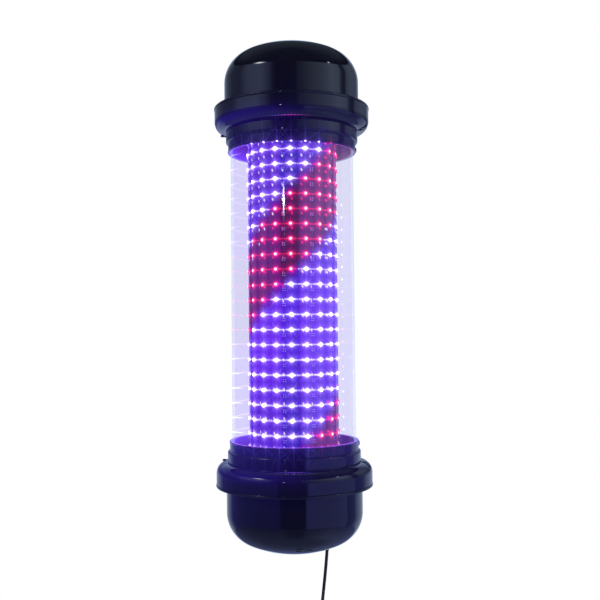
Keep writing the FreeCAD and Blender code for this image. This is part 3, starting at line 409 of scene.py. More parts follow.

# %% [markdown]
# ## The light painted on the column
# The column is black, but its rows of lights bathe it in violet. Eyes and lenses smear so
# bright a light, so each row shows as a line, each light wears a halo with fine rays, and
# small reflections of the lights sit between them. The group below paints all of this light
# onto the column as emission, worked out from the place on the column: `turn` counts the
# strips round it and `rise` counts the rows.
# Running lights are lit in a band that climbs one row for each strip, and the band repeats
# every eighteen rows. Six of those rows are red and the rest are a cold white.

# %% The lights' layout, read from the strips
STRIP_NAMES = sorted(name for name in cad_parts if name.startswith("led_strip_"))
STRIP_COUNT = len(STRIP_NAMES)
STRIP_ANGLE = 360 / STRIP_COUNT
STRIP_TURN = -1.9 * DEGREE
ROW_COUNT = 22
ROW_PITCH = 18.8 * MM
COLUMN_MIDDLE = (STRIP_LOW.z + STRIP_HIGH.z) / 2
FIRST_ROW = COLUMN_MIDDLE - ROW_PITCH * (ROW_COUNT - 1) / 2
STRIP_RADIUS = 57.6 * MM
BAND_PERIOD = 18
BAND_START = 2.5
BAND_END = 8.5
TOP_ROW = 20
COLUMN_SEED = 7.31
ROW_SEED = 3.17
print(STRIP_COUNT, "strips", ROW_COUNT, "rows, first at", round(FIRST_ROW, 4))

# %% Shader group: where a point is among the lights
lattice, given, out = shader_group("light_lattice", {
    "Column angle": STRIP_ANGLE * DEGREE, "Row pitch": ROW_PITCH,
    "First column": STRIP_TURN, "First row": FIRST_ROW,
}, ("Aside", "Above", "Red", "Band", "Cell", "Column"))
x, y, z = split(object_place(lattice))
angle = calc("ARCTAN2", x, AXIS.y - y)
wrapped = calc("WRAP", angle - given["First column"], math.pi, -math.pi)
turn = wrapped / given["Column angle"]
rise = (z - given["First row"]) / given["Row pitch"]
column = calc("ROUND", turn)
row = calc("ROUND", rise)
feed(out["Aside"], (turn - column) * (given["Column angle"] * (STRIP_RADIUS / MM)))
feed(out["Above"], (rise - row) * (given["Row pitch"] / MM))


def in_red(turned_by, risen_by, softness):
    """1 where the running lights are red, fading to 0 over a softness in rows."""
    count = turned_by + TOP_ROW - risen_by
    band = calc("FLOORED_MODULO", count, BAND_PERIOD)
    return (fade(band, BAND_START - softness / 2, softness)
            * fade(band, BAND_END + softness / 2, -softness))


feed(out["Red"], in_red(column, row, 0.2))
feed(out["Band"], in_red(turn, rise, 1.4))
feed(out["Column"], column)
feed(out["Cell"], column * COLUMN_SEED + row * ROW_SEED)

# %% Shader group: the painted glow on the column
glow, given, out = shader_group("glow_on_column", {"Strength": 1.0}, ["Glow"])


def bell(value, width):
    """A soft bump: 1 where the value is 0, fading over a width."""
    share = value / width
    return calc("EXPONENT", share * share * -1)


def tail(value, width):
    """A sharp peak with long sides."""
    return calc("EXPONENT", abs(value) / -width)


cell = use_group(glow, lattice)
aside, above, red, band = (cell[name] for name in ("Aside", "Above", "Red", "Band"))
far = span(aside, above)

# The painted pool of light between the lights
x, y, z = split(object_place(glow))
mid_height = bell(z - (MIDDLE - 40 * MM), 95 * MM)
near_row = tail(above, 4.0)
between = mix(mid_height, (0.026, 0.006, 0.45), (0.08, 0.003, 0.77))
pool_white = mix(near_row, between, (0.1, 0.012, 0.8))
pool_red = mix(near_row, (0.055, 0.003, 0.085), (0.16, 0.0, 0.1))
pool = mix(band, pool_white, pool_red)


def hatch(across, along, lean, seed):
    """Fine lines of painted light that lean one way: the far ends of many lights' rays."""
    c, s = math.cos(lean), math.sin(lean)
    side = across * c + along * s
    down = along * (c * 0.12) - across * (s * 0.12)
    return noise(join(side, down, cell["Cell"] + seed), 0.75, 1)


weave = hatch(aside, above, 0.75, 0.0) + hatch(aside, above, -0.75, 40.0)
pool = (weave * 0.9 + 0.1) * pool

# Painted rays round each light, its bright core, its veil, the streak along its row and a thin upright ray
ray_angle = calc("ARCTAN2", above, aside)
ray_place = join(calc("COSINE", ray_angle), calc("SINE", ray_angle), cell["Cell"])
rays = fade(noise(ray_place, 6.5, 1), 0.5, 1 / 6) * tail(far, 4.5)

diamond = abs(aside) / 4.8 + abs(above) / 3.5
white_core = bell(diamond, 0.72) * 2.2
veil = tail(far, 3.0)
near_foot = fade(z, FIRST_ROW + 7 * ROW_PITCH, -7 * ROW_PITCH)
flat_above = above * (near_foot * -0.35 + 1)
spike = bell(flat_above, 0.85) * tail(aside, 3.8)
dotted = noise(join(aside * 0.8, 0.0, cell["Cell"]), 1.0, 0)
streak = bell(flat_above, 0.85) * fade(dotted, 0.28, 1 / 2.6)
column_ray = bell(aside, 0.6)

cold = (white_core * (0.85, 0.8, 1.0) + veil * (0.47, 0.27, 0.79) + spike * (0.66, 0.66, 0.75)
        + streak * (0.8, 0.76, 0.9) + rays * (0.36, 0.25, 0.8) + column_ray * (0.03, 0.02, 0.08))
hot = (bell(far, 1.2) * (1.6, 1.3, 1.3) + bell(far, 2.9) * (1.3, 0.0, 0.05) + veil * (0.5, 0.0, 0.17)
       + spike * (1.3, 0.05, 0.04) + streak * (0.62, 0.0, 0.03) + rays * (0.12, 0.0, 0.08)
       + column_ray * (0.1, 0.0, 0.03))

# Small slanted painted reflections of the lights, on a lattice that is a little wider than theirs
SPECK_ANGLE = 12.35 * DEGREE
SPECK_SCALE = 1.035
SPECK_LEVEL = -0.2923
speck_row = (FIRST_ROW + SPECK_LEVEL * (SPECK_SCALE - 1)) / SPECK_SCALE
speck = use_group(glow, lattice, Column_angle=SPECK_ANGLE, First_column=0.0,
                  Row_pitch=ROW_PITCH / SPECK_SCALE, First_row=speck_row)
slanted = speck["Aside"] + speck["Above"] * 0.25
spot = bell(slanted, 0.85) * bell(speck["Above"], 1.5)
spot_shade = mix(speck["Red"], (1.2, 1.1, 1.5), (1.2, 0.02, 0.1))
feed(out["Glow"], given["Strength"] * (pool + mix(red, cold, hot) + spot * spot_shade))

# %% [markdown]
# ## Materials
# A material here is a Principled surface that is fed by the shared groups. Numbers that are
# the same everywhere are set on the surface's own sockets, so they survive an export.

# %% Material helpers
def surface(name, **values):
    """A new material with plain values on its Principled node; its tree and that node too."""
    material = bpy.data.materials.new(name)
    material.use_nodes = True
    shader = material.node_tree.nodes["Principled BSDF"]
    for key, value in values.items():
        feed(shader.inputs[key.replace("_", " ")], value)
    return material, material.node_tree, shader


def bumped(shader, height, strength, distance):
    """Turns a height into a Bump node on the surface's normal."""
    bump = height.tree.nodes.new("ShaderNodeBump")
    for name, value in (("Strength", strength), ("Distance", distance), ("Height", height)):
        feed(bump.inputs[name], value)
    feed(shader.inputs["Normal"], Wire(bump.outputs[0]))


def give_off(material, shade):
    """Lets a material give off a light."""
    shader = material.node_tree.nodes["Principled BSDF"]
    feed(shader.inputs["Emission Color"], shade)
    feed(shader.inputs["Emission Strength"], 1.0)


def covered(name, group, given, strength, distance, values):
    """A material that wears a shared finish: its colour, its roughness and its height."""
    material, tree, shader = surface(name, **values)
    made = use_group(tree, group, **given)
    feed(shader.inputs["Base Color"], made["Colour"])
    feed(shader.inputs["Roughness"], made["Roughness"])
    bumped(shader, made["Height"], strength, distance)
    return material


def moulded_material(name, shade, gloss, grain=0.8 * MM, ripple=60 * MM, dust=0.05, bump=1.0,
                     depth=0.05 * MM, **values):
    """A moulded plastic or rubber in one shade."""
    given = dict(Colour=shade, Gloss=gloss, Grain_size=grain, Ripple_size=ripple, Dust=dust)
    return covered(name, moulded, given, bump, depth, values)


def steel_material(name, shade, gloss, stretch=0.12):
    """Sheet or turned steel."""
    given = dict(Colour=shade, Gloss=gloss, Stretch=stretch)
    return covered(name, rolled, given, 0.3, 0.03 * MM, {"Metallic": 1.0})


def lit_by(material, group, strength=1.0):
    """Paints the lights' glow onto a material as emission; the material."""
    give_off(material, use_group(material.node_tree, group, Strength=strength)["Glow"])
    return material


# %% [markdown]
# The caps are the pole's largest parts: glossy black plastic with a breath of violet in it.
# Next to the tube the lights colour them: that light, with the lights' reflections in the rim,
# the groove and the bore, is painted into their material as a faint glow near each rim. The
# glow follows the distance from the rim, which Object coordinates give directly.

# %% Shader group: the lights' painted wash on the caps
NECK_RADIUS = 83.0
BEAD_PITCH = 12.1 * DEGREE
rim_light, given, out = shader_group("light_on_caps", {"Strength": 1.0}, ["Glow"])
x, y, z = split(object_place(rim_light))
inward = AXIS.y - y
from_axis = span(x, inward) / MM
out_from_rim = (abs(z - MIDDLE) - HALF) / MM
lower = z < MIDDLE
to_left = fade(x, 30 * MM, -80 * MM)
cell = use_group(rim_light, lattice, Column_angle=BEAD_PITCH, First_column=0.0)
beside = cell["Aside"] * (NECK_RADIUS / (STRIP_RADIUS / MM))
red_end = in_red(cell["Column"], lower * -19 + 20, 0.2)

# The broad painted wash of the lights' violet, which fades along the cap
wash = ramp(
    out_from_rim / 160, (0.0, (0.008, 0.003, 0.095)), (0.06, (0.006, 0.002, 0.072)),
    (0.1, (0.0045, 0.002, 0.052)), (0.17, (0.0032, 0.0014, 0.032)), (0.26, (0.0022, 0.001, 0.022)),
    (0.35, (0.0015, 0.0008, 0.014)), (0.6, (0.0007, 0.0006, 0.005)), (1.0, (0.001, 0.001, 0.005)))
wash = (lower * to_left * 0.35 + (lower * 0.15 + 0.7)) * wash
lit_flange = bell(out_from_rim - 34, 7) * to_left

# Painted fans of fine rays above each bright dot of the rim
fans = []
for neighbour in (-1, 0, 1):
    across = beside + neighbour * BEAD_PITCH * NECK_RADIUS
    reach = span(across, out_from_rim)
    lean = calc("ARCTAN2", out_from_rim, across)
    seed = (cell["Column"] - neighbour) * COLUMN_SEED
    ray_lines = noise(join(calc("COSINE", lean), calc("SINE", lean), seed), 11.0, 1)
    fans.append(fade(ray_lines, 0.55, 1 / 7) * tail(reach, 9.0))
upright = bell(beside, 0.5) * tail(out_from_rim, 12.0)
fan = fans[0] + fans[1] + fans[2] + upright * 0.8

# Painted light: the dots, which are reflections of the lights in the rim, the line along the
# lower rim, the lit bore and the lit groove
at_bead = bell(out_from_rim + 0.2, 0.8)
round_angle = abs(calc("ARCTAN2", x, inward))
near_front = fade(round_angle, 42 * DEGREE, -8 * DEGREE)
upper = 1 - lower
dots = at_bead * bell(beside, 0.95) * (near_front * upper)
dot_halo = tail(beside, 3.0) * tail(out_from_rim, 3.0) * (near_front * (upper * 0.7 + 0.3))
lower_line = at_bead * lower * (bell(beside, 1.6) * 0.5 + 0.6)
in_bore = (from_axis < 81.2) * (out_from_rim > -0.5)
bore_fade = tail(out_from_rim, 16.0) * (to_left * 0.8 + 0.2)
groove_radius = lower * -2.0 + 93.8
groove_glint_dots = calc("SINE", x * (1.6 / MM)) * 0.5 + 0.5
near_groove = bell(x + 2 * MM, 15 * MM) * bell(out_from_rim - 28.8, 2.0)
at_groove = bell(from_axis - groove_radius, 0.42) * near_groove * (groove_glint_dots * 0.8 + 0.25)
purple = fade(x, -14 * MM, 10 * MM) * upper
groove_shade = mix(purple, (0.28, 0.12, 1.3), (0.75, 0.02, 0.8))

# Their colours at an end where the lights are white and at one where they are red
white_end = (dots * (5.0, 4.4, 6.0) + at_bead * to_left * upper * (0.16, 0.04, 0.7)
             + dot_halo * (0.1, 0.04, 0.45) + fan * (0.05, 0.028, 0.3))
red_end_glow = (dots * (2.5, 0.1, 0.3) + at_bead * upper * (0.13, 0.0, 0.16)
                + dot_halo * (0.22, 0.0, 0.05) + fan * (0.04, 0.005, 0.06))
near_end = (1 - in_bore) * mix(red_end, white_end, red_end_glow)
right_bore = mix(lower, (0.6, 0.42, 0.16), (0.0, 0.0, 0.0))
left_bore = mix(lower, (0.16, 0.07, 1.25), (0.11, 0.07, 0.8))
bore_light_streaks = noise(join(x * 30.0, y * 30.0, out_from_rim * 0.9), 1.0, 2, 0.6)
bore_shade = (bore_light_streaks * 1.6 + 0.2) * mix(to_left, right_bore, left_bore)
bore_light = in_bore * bore_fade * bore_shade
feed(out["Glow"], given["Strength"] * (
    wash + near_end + bore_light + lit_flange * (0.006, 0.0, 0.085)
    + lower_line * (0.46, 0.12, 1.35) + at_groove * groove_shade))

# %% Materials: glossy cap plastic, and the column's pipe and strips
# The caps, the pipe and the strips give off painted light: the caps the lights' wash near each rim, the
# pipe and the strips the glow on the column.
cap_gloss = lit_by(moulded_material(
    "glossy_cap_plastic", (0.003, 0.003, 0.0072), 0.055, grain=0.6 * MM, ripple=55 * MM, dust=0.004,
    depth=0.12 * MM, IOR=1.5), rim_light)
pipe_black = lit_by(moulded_material(
    "black_pipe_plastic", (0.006, 0.006, 0.008), 0.35, ripple=30 * MM, dust=0.02), glow, 0.95)
strip_black = lit_by(moulded_material(
    "black_strip_board", (0.004, 0.004, 0.006), 0.3, grain=0.5 * MM, ripple=30 * MM, dust=0.02), glow)
print(cap_gloss.name, pipe_black.name, strip_black.name)

# %% [markdown]
# A clear tube shows mostly through its reflections. Its colour is white and its alpha is
# the share of light that a clear wall reflects, which grows towards the edges: a Fresnel
# node gives that share. Both walls reflect, so it is counted twice.

# %% Material: clear acrylic
ACRYLIC_IOR = 1.49
TUBE_WALL = 3.0 * MM
clear_wall, tree, shader = surface("clear_acrylic", Metallic=1.0, Roughness=0.012,
                                   Specular_Tint=(0.25, 0.25, 0.3))
behind = reading(tree, "NewGeometry", "Backfacing")
in_front = 1 - behind
fresnel = tree.nodes.new("ShaderNodeFresnel")
feed(fresnel.inputs["IOR"], calc("POWER", ACRYLIC_IOR, 1 - behind * 2))
x, y, z = split(object_place(tree))
depth = AXIS.y - y
inner_wall = span(x, depth) < TUBE_RADIUS - TUBE_WALL / 2
outer_wall = 1 - inner_wall
round_angle = calc("ARCTAN2", x, depth)
to_left = x < 0
cell = use_group(tree, lattice)
rise = (z - FIRST_ROW) / ROW_PITCH
side_column = to_left * -8.8 + 4.4
red_side = in_red(side_column, rise, 0.6)
ring = bell(cell["Above"], 0.75)
print(clear_wall.name)

# %% [markdown]
# The inner wall behind the column carries a painted haze of the column's light. Every row has
# a thin painted ring on it, and painted reflections of the last lights make a line of dots on
# its right.

# %% Clear acrylic: the painted haze, rings and reflected lights
haze_left = mix(red_side, (0.31, 0.365, 0.84), (0.31, 0.4, 0.69))
haze_right = mix(red_side, (0.36, 0.455, 0.77), (0.36, 0.47, 0.66))
# The painted haze is brighter and darker in upright bands along the tube's draw lines.
drawn = noise(join(round_angle * 6.0, 0.0, z * 0.5), 4.0, 2, 0.6)
haze = (drawn * 0.24 + 0.88) * mix(to_left, haze_right, haze_left)
ring_shade = mix(red_side, (1.1, 1.05, 1.3), (1.15, 0.45, 0.75))
towards_foot = fade(rise, 9.9, -9)
far_ring = ring * (to_left * (towards_foot * 0.35 + 0.25) + 0.12)
far_glow = mix(far_ring, haze, ring_shade)
MIRROR_PITCH = 16.74 * MM
MIRROR_FIRST = MIDDLE - 177.5 * MM
MIRROR_TURN = 121 * DEGREE
mirror_rise = (z - MIRROR_FIRST) / MIRROR_PITCH
mirror_row = calc("ROUND", mirror_rise)
mirror_above = (mirror_rise - mirror_row) * (MIRROR_PITCH / MM)
mirror_aside = (round_angle - MIRROR_TURN) * (TUBE_RADIUS / MM)
mirror_dot = bell(mirror_above, 1.1) * bell(mirror_aside, 1.5) * (mirror_row < 19)
mirror_shade = mix(in_red(11, mirror_row, 0.2), (2.4, 2.4, 2.8), (2.4, 1.0, 1.5))
far_glow = mix(mirror_dot, far_glow, mirror_shade)
showing = abs(z - MIDDLE) < HALF
far_alpha = inner_wall * showing * largest(mirror_dot, 0.45)
print("far wall", len(tree.nodes), "nodes")

# %% [markdown]
# The outer wall in front is seen at its sides, where the eye looks along it through much
# plastic, and where the painted rings bend upwards as the wall comes nearer. Its haze there,
# and a violet reflection of the column everywhere but straight in front, are painted light too.

# %% Clear acrylic: the near wall
front_share = (round_angle > -10.5 * DEGREE) * (round_angle < 6.4 * DEGREE)
mirrored = (1 - front_share) * mix(to_left, (0.62, 0.12, 1.25), (0.6, 0.0, 1.15))
left_fade = towards_foot * (13 * DEGREE) - 20 * DEGREE
at_left_edge = (fade(round_angle, -48 * DEGREE, left_fade)
                * fade(round_angle, -112 * DEGREE, 12 * DEGREE))
at_right_edge = (fade(round_angle, 44 * DEGREE, 40 * DEGREE)
                 * fade(round_angle, 112 * DEGREE, -12 * DEGREE))
near_lift = (MIDDLE - z) * depth * 0.55
near_rise = rise - near_lift / ROW_PITCH
near_above = (near_rise - calc("ROUND", near_rise)) * (ROW_PITCH / MM)
ring_power = bell(near_above, 0.75) * (at_left_edge * (towards_foot * 0.5 + 0.75) + at_right_edge * 0.12)
mirror_alpha = calc("MINIMUM", Wire(fresnel.outputs[0]) * 2, 0.11)
through_wall = fade(reading(tree, "LayerWeight", "Facing"), 0.72, 1 / 40)
near_alpha = largest(largest(mirror_alpha, through_wall * 0.45), ring_power * 0.8)
near_glow = mix(through_wall, mirrored, haze)
near_glow = mix(clamped(ring_power * 1.6), near_glow, ring_shade)
feed(shader.inputs["Alpha"], in_front * (far_alpha + outer_wall * near_alpha))
feed(shader.inputs["Base Color"], mix(inner_wall, (0.97, 0.97, 1.0), (0.0, 0.0, 0.0)))
give_off(clear_wall, mix(inner_wall, near_glow, far_glow))
bumped(shader, noise(join(x, y, z * 0.02), 130, 2), 0.012, 0.02 * MM)
print("both walls", len(tree.nodes), "nodes")

# %% [markdown]
# Every slot of the CAD record gets one finish. A CAD node that keeps its own shape is
# dressed by putting the finish in its material slots.

# %% Finishes of all slots
FINISHES = {
    "cap_plastic": cap_gloss,
    "clear_plastic": clear_wall,
    "pipe_plastic": pipe_black,
    "led_strip": strip_black,
    "seal_rubber": moulded_material(
        "seal_rubber", (0.012, 0.012, 0.013), 0.75, grain=0.5 * MM, dust=0.2),
    "carrier_plastic": moulded_material(
        "carrier_plastic", (0.09, 0.09, 0.1), 0.5, dust=0.15),
    "driver_case": moulded_material(
        "driver_case_aluminium", (0.42, 0.43, 0.45), 0.4, grain=0.4 * MM, dust=0.2, Metallic=0.85),
    "controller_plastic": moulded_material(
        "controller_case", (0.02, 0.02, 0.022), 0.45, grain=0.5 * MM, dust=0.15),
    "terminal_plastic": moulded_material(
        "terminal_plastic", (0.66, 0.62, 0.52), 0.4, dust=0.15),
    "switch_plastic": moulded_material(
        "switch_plastic", (0.01, 0.01, 0.011), 0.32, grain=0.35 * MM, depth=0.12 * MM),
    "rocker_plastic": moulded_material(
        "rocker_plastic", (0.013, 0.013, 0.015), 0.22, grain=0.6 * MM),
    "cord_vinyl": moulded_material(
        "cord_vinyl", (0.011, 0.011, 0.012), 0.36, grain=0.7 * MM, depth=0.1 * MM),
    "plug_vinyl": moulded_material(
        "plug_vinyl", (0.012, 0.012, 0.013), 0.42, grain=0.5 * MM, depth=0.12 * MM),
    "tie_plastic": moulded_material(
        "tie_vinyl", (0.52, 0.52, 0.5), 0.5, grain=0.6 * MM),
    "bracket_steel": steel_material("bracket_zinc", (0.56, 0.57, 0.6), 0.36),
    "bolt_steel": steel_material("bolt_zinc", (0.62, 0.62, 0.64), 0.28, stretch=3.0),
    # The black screws near the rims give off the same painted light as the caps.
    "black_screw_steel": lit_by(
        steel_material("black_oxide_screw", (0.035, 0.035, 0.04), 0.3, stretch=3.0), rim_light, 0.9),
    "contact_brass": steel_material("contact_brass", (0.72, 0.52, 0.2), 0.25, stretch=0.3),
}
print(len(bpy.data.materials), "materials")

# %% Dress the CAD nodes
for name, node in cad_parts.items():
    for holder in node.material_slots:
        holder.material = FINISHES[holder.material.name.split(".")[0]]
cord_mesh.materials.append(FINISHES["cord_vinyl"])
print("dressed", len(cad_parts), "nodes")

# %% [markdown]
# ## Pieces turned on the pole's axis
# Caps, collars and tube are round, so each is an outline swung about the axis. The outline
# is a list of (radius, height) in millimetres, where a height counts outwards from the
# neck's rim. A point on the axis becomes one shared vertex, which closes the pole of a dome.

# %% Outlines
SEGMENTS = 192


def bend(centre, radius, start, end, steps):
    """Points along an arc; its angles, in degrees, are measured from the outward direction."""
    points = []
    for step in range(steps + 1):
        a = math.radians(start + (end - start) * step / steps)
        points.append((centre[0] + radius * math.cos(a), centre[1] + radius * math.sin(a)))
    return points


def supported(points, reach=0.8):
    """Adds points near both ends of each long run, so smooth shading keeps long runs flat."""
    result = []
    for here, there in zip(points, points[1:] + points[:1]):
        result.append(here)
        run = math.dist(here, there)
        if run > 4 * reach:
            result += [tuple(a + (b - a) * share for a, b in zip(here, there))
                       for share in (reach / run, 1 - reach / run)]
    return result


# %% Objects: turned, skinned, joined and cut
def round_about(centre, radius, share):
    """Where a share of the way round a circle ends; it starts at the front of the pole."""
    a = 2 * math.pi * share
    return centre.x + radius * math.sin(a), centre.y - radius * math.cos(a)


def loose_object(name, form):
    """Puts a form in the scene as an object at the origin."""
    mesh = bpy.data.meshes.new(name)
    form.to_mesh(mesh)
    form.free()
    made = bpy.data.objects.new(name, mesh)
    scene.collection.objects.link(made)
    return made


def turned(name, outline, rim, outward, about=AXIS, segments=SEGMENTS):
    """An object turned from a closed outline; outward is 1 for the upper end, -1 below."""
    form = bmesh.new()
    rings = []
    for radius, height in outline:
        z = rim + outward * height * MM
        corners = segments if radius > 1e-6 else 1
        rings.append([form.verts.new((*round_about(about, radius * MM, i / segments), z))
                      for i in range(corners)])
    for ring, following in zip(rings, rings[1:] + rings[:1]):
        for i in range(segments):
            j = (i + 1) % segments
            corners = dict.fromkeys((ring[i % len(ring)], ring[j % len(ring)],
                                     following[j % len(following)], following[i % len(following)]))
            if len(corners) > 2:
                form.faces.new(tuple(corners))
    bmesh.ops.recalc_face_normals(form, faces=form.faces)
    return loose_object(name, form)


def skinned(name, sections, looped=False):
    """A skin through sections with alike corners, with a lid at both ends or closed to a loop."""
    form = bmesh.new()
    rings = [[form.verts.new(corner) for corner in section] for section in sections]
    for ring, following in zip(rings, rings[1:] + (rings[:1] if looped else [])):
        for i in range(len(ring)):
            j = (i + 1) % len(ring)
            form.faces.new((ring[i], ring[j], following[j], following[i]))
    if not looped:
        form.faces.new(rings[0])
        form.faces.new(rings[-1])
    bmesh.ops.recalc_face_normals(form, faces=form.faces)
    return loose_object(name, form)


def box_form(low, high):
    """A plain box between two corners, in metres; a cutter, or the start of a shape."""
    form = bmesh.new()
    bmesh.ops.create_cube(form, size=1)
    for vertex in form.verts:
        vertex.co = Vector((low[i] + (high[i] - low[i]) * (vertex.co[i] + 0.5) for i in range(3)))
    return form


def worked(first, operation, second):
    """Joins, cuts or keeps the overlap of two objects; the second is used up."""
    step = first.modifiers.new(operation, "BOOLEAN")
    step.operation = operation
    step.solver = "EXACT"
    step.object = second
    result = bpy.data.meshes.new_from_object(first.evaluated_get(bpy.context.evaluated_depsgraph_get()))
    first.modifiers.clear()
    spent = first.data, second.data
    first.data = result
    bpy.data.objects.remove(second)
    for mesh in spent:
        bpy.data.meshes.remove(mesh)
    return first


def smooth(made, angle=30):
    """Smooth shading that still shows edges sharper than an angle."""
    made.data.shade_smooth()
    made.data.set_sharp_from_angle(angle=math.radians(angle))
    return made


def finish_piece(made, slot, replaced=()):
    """Paints a finished piece, puts it on its body and hides the nodes it stands for."""
    if not made.data.materials:
        made.data.materials.append(FINISHES[slot])
    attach(made, "pole")
    if replaced:
        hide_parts(*replaced)
    print(made.name, len(made.data.polygons), "faces")
    return made


# %% [markdown]
# ## The domed caps
# Each cap is a deep bowl of glossy plastic with a rolled rim. Its section is a large crown
# arc that runs into a smaller knuckle arc, then a straight wall. The lower cap has a flat
# seat for the cord gland and an opening for the rocker switch, which are cut afterwards.

# %% Dome sizes
DOME_RADIUS = 87.5
DOME_WALL = 3.0
FLANGE_HEIGHT = 54.6
RIM_TOP = 58.5
RIM_ROUND = 1.5
KNUCKLE_RADIUS = 41.8
KNUCKLE_HEIGHT = 91.3
KNUCKLE_CENTRE = DOME_RADIUS - KNUCKLE_RADIUS
CROWN_RADIUS = 152.23
CROWN_CENTRE = DOME_HEIGHT / MM - CROWN_RADIUS
CROWN_ANGLE = math.degrees(math.atan2(KNUCKLE_CENTRE, KNUCKLE_HEIGHT - CROWN_CENTRE))


def dome_side(inset, steps):
    """The dome's section from its straight wall to its apex, a wall's thickness inside."""
    return (bend((KNUCKLE_CENTRE, KNUCKLE_HEIGHT), KNUCKLE_RADIUS - inset, 0, 90 - CROWN_ANGLE, steps)
            + bend((0, CROWN_CENTRE), CROWN_RADIUS - inset, 90 - CROWN_ANGLE, 90, steps)[1:-1]
            + [(0, CROWN_CENTRE + CROWN_RADIUS - inset)])


def dome_outline():
    """The dome's whole section: rim, fillet, outside, then the inside back to the rim."""
    rim = RIM_RADIUS / MM - RIM_ROUND
    outside = (bend((rim, FLANGE_HEIGHT + RIM_ROUND), RIM_ROUND, -90, 0, 6)
               + bend((rim, RIM_TOP - RIM_ROUND), RIM_ROUND, 0, 90, 6)
               + bend((DOME_RADIUS + RIM_ROUND, RIM_TOP + RIM_ROUND), RIM_ROUND, 270, 180, 6)
               + dome_side(0, 26))
    inside = dome_side(DOME_WALL, 12)
    return outside + inside[::-1] + [(DOME_RADIUS - DOME_WALL, FLANGE_HEIGHT)]


# %% Upper dome
upper_dome = smooth(turned("upper_dome", supported(dome_outline()), UPPER_RIM, 1))
finish_piece(upper_dome, "cap_plastic", replaced=["upper_dome_cap"])

# %% Lower dome, with its openings
GLAND_SPOT = Vector((42 * MM, AXIS.y + 35 * MM, 0))
SEAT_HEIGHT = 131
GLAND_SEAT = LOWER_RIM - SEAT_HEIGHT * MM
BEYOND = 150
BOSS = 9.5, 125, SEAT_HEIGHT
SEAT = 7.5, SEAT_HEIGHT, BEYOND
HOLE = 4.7, 120, BEYOND
SWITCH_SINK = 0.6
SWITCH_OFF_AXIS = 45
SWITCH_TILT = math.asin(SWITCH_OFF_AXIS / CROWN_RADIUS)
switch_frame = (Matrix.Translation((AXIS.x, AXIS.y, LOWER_RIM - CROWN_CENTRE * MM))
                @ Matrix.Rotation(SWITCH_TILT - math.pi, 4, "X")
                @ Matrix.Translation((0, 0, (CROWN_RADIUS - SWITCH_SINK) * MM)))


def rod(name, radius, low, high, rim=LOWER_RIM, outward=-1, about=GLAND_SPOT, segments=64):
    """An upright rod that joins or cuts: its radius, then where it starts and ends."""
    outline = [(0, low), (radius, low), (radius, high), (0, high)]
    return turned(name, outline, rim, outward, about, segments)


lower_dome = turned("lower_dome", supported(dome_outline()), LOWER_RIM, -1)
boss = rod("boss", *BOSS)
inner_space = [(0, FLANGE_HEIGHT), (DOME_RADIUS - 1, FLANGE_HEIGHT)] + dome_side(1, 12)
worked(boss, "INTERSECT", turned("inner_space", inner_space, LOWER_RIM, -1))
worked(lower_dome, "UNION", boss)
worked(lower_dome, "DIFFERENCE", rod("gland_seat", *SEAT))
worked(lower_dome, "DIFFERENCE", rod("gland_hole", *HOLE, segments=48))
for half_width, half_length, depth_below in ((8.3, 11.2, 0), (6.8, 9.7, 6)):
    corner = Vector((half_width, half_length, 6)) * MM
    cutter = box_form((-corner.x, -corner.y, -depth_below * MM), corner)
    cutter.transform(switch_frame)
    worked(lower_dome, "DIFFERENCE", loose_object("switch_cutter", cutter))
smooth(lower_dome)
finish_piece(lower_dome, "cap_plastic", replaced=["lower_dome_cap"])

# %% [markdown]
# ## The collars
# A collar grips the tube's end. Seen from the tube outwards it has a beaded rim, a neck, a
# rounded step, a fine groove, and a quarter-round shoulder that ends in a straight flange.
# Two pockets in the shoulder hold the posts of the cap screws, and a flat pad at the back
# takes the wall bracket. The round part is turned; the rest is joined and cut.

# %% Collar outline
STEP_RADIUS = 85.8
SHOULDER_START = (87.0, 27.3)
SHOULDER_ROUND = 13.4
SHOULDER_CENTRE = (SHOULDER_START[0], SHOULDER_START[1] + SHOULDER_ROUND)
WALL = 3
BORE = 80.3
CAVITY = 81.5
SPIGOT_RADIUS = 84.2
COLLAR_OUTSIDE = (
    [(NECK_RADIUS - 0.9, 0.0)]
    + bend((NECK_RADIUS - 0.9, 1.5), 1.5, -90, 53.13, 10)[1:]
    + [(NECK_RADIUS, 12.3)]
    + bend((NECK_RADIUS, 15.1), 2.8, -90, 0, 8)
    + [(STEP_RADIUS, 26.3), (84.9, 26.3), (84.9, 27.3), SHOULDER_START]
    + bend(SHOULDER_CENTRE, SHOULDER_ROUND, -90, 0, 20)[1:]
    + [(FLANGE_RADIUS / MM, FLANGE_HEIGHT)])
COLLAR_INSIDE = (
    [(97.4, FLANGE_HEIGHT)]
    + bend(SHOULDER_CENTRE, SHOULDER_ROUND - WALL, 0, -81.15, 10)
    + [(88.6, FLANGE_HEIGHT), (87.6, FLANGE_HEIGHT), (87.6, 53.1), (85.2, 53.1), (85.2, FLANGE_HEIGHT),
       (SPIGOT_RADIUS, FLANGE_HEIGHT), (SPIGOT_RADIUS, 60.0), (CAVITY, 60.0), (CAVITY, 36.0),
       (74.0, 36.0), (74.0, 30.0), (BORE, 30.0), (BORE, 1.0), (BORE + 1, 0.0)])
print("collar outline", len(COLLAR_OUTSIDE), "and", len(COLLAR_INSIDE), "points")

# %% Collar: pockets, posts and the bracket's pad
SCREW_CIRCLE = 93.0
SCREW_POSTS = ((79, 31.0), (260, 29.1))
POST_RADIUS, POST_END = 3.3, 49.3
WELL = 8.0, 28.0, 54.5
POCKET = 6.5, 10, 44
INNER_EDGE = 70
SHOULDER_POINTS = 23
PAD_LEVELS = 15 * MM, 53 * MM
PAD_HALF_WIDTH = 32 * MM
PAD_REACH = 101.5 * MM
PAD_BORE = 81.65, 0, 60


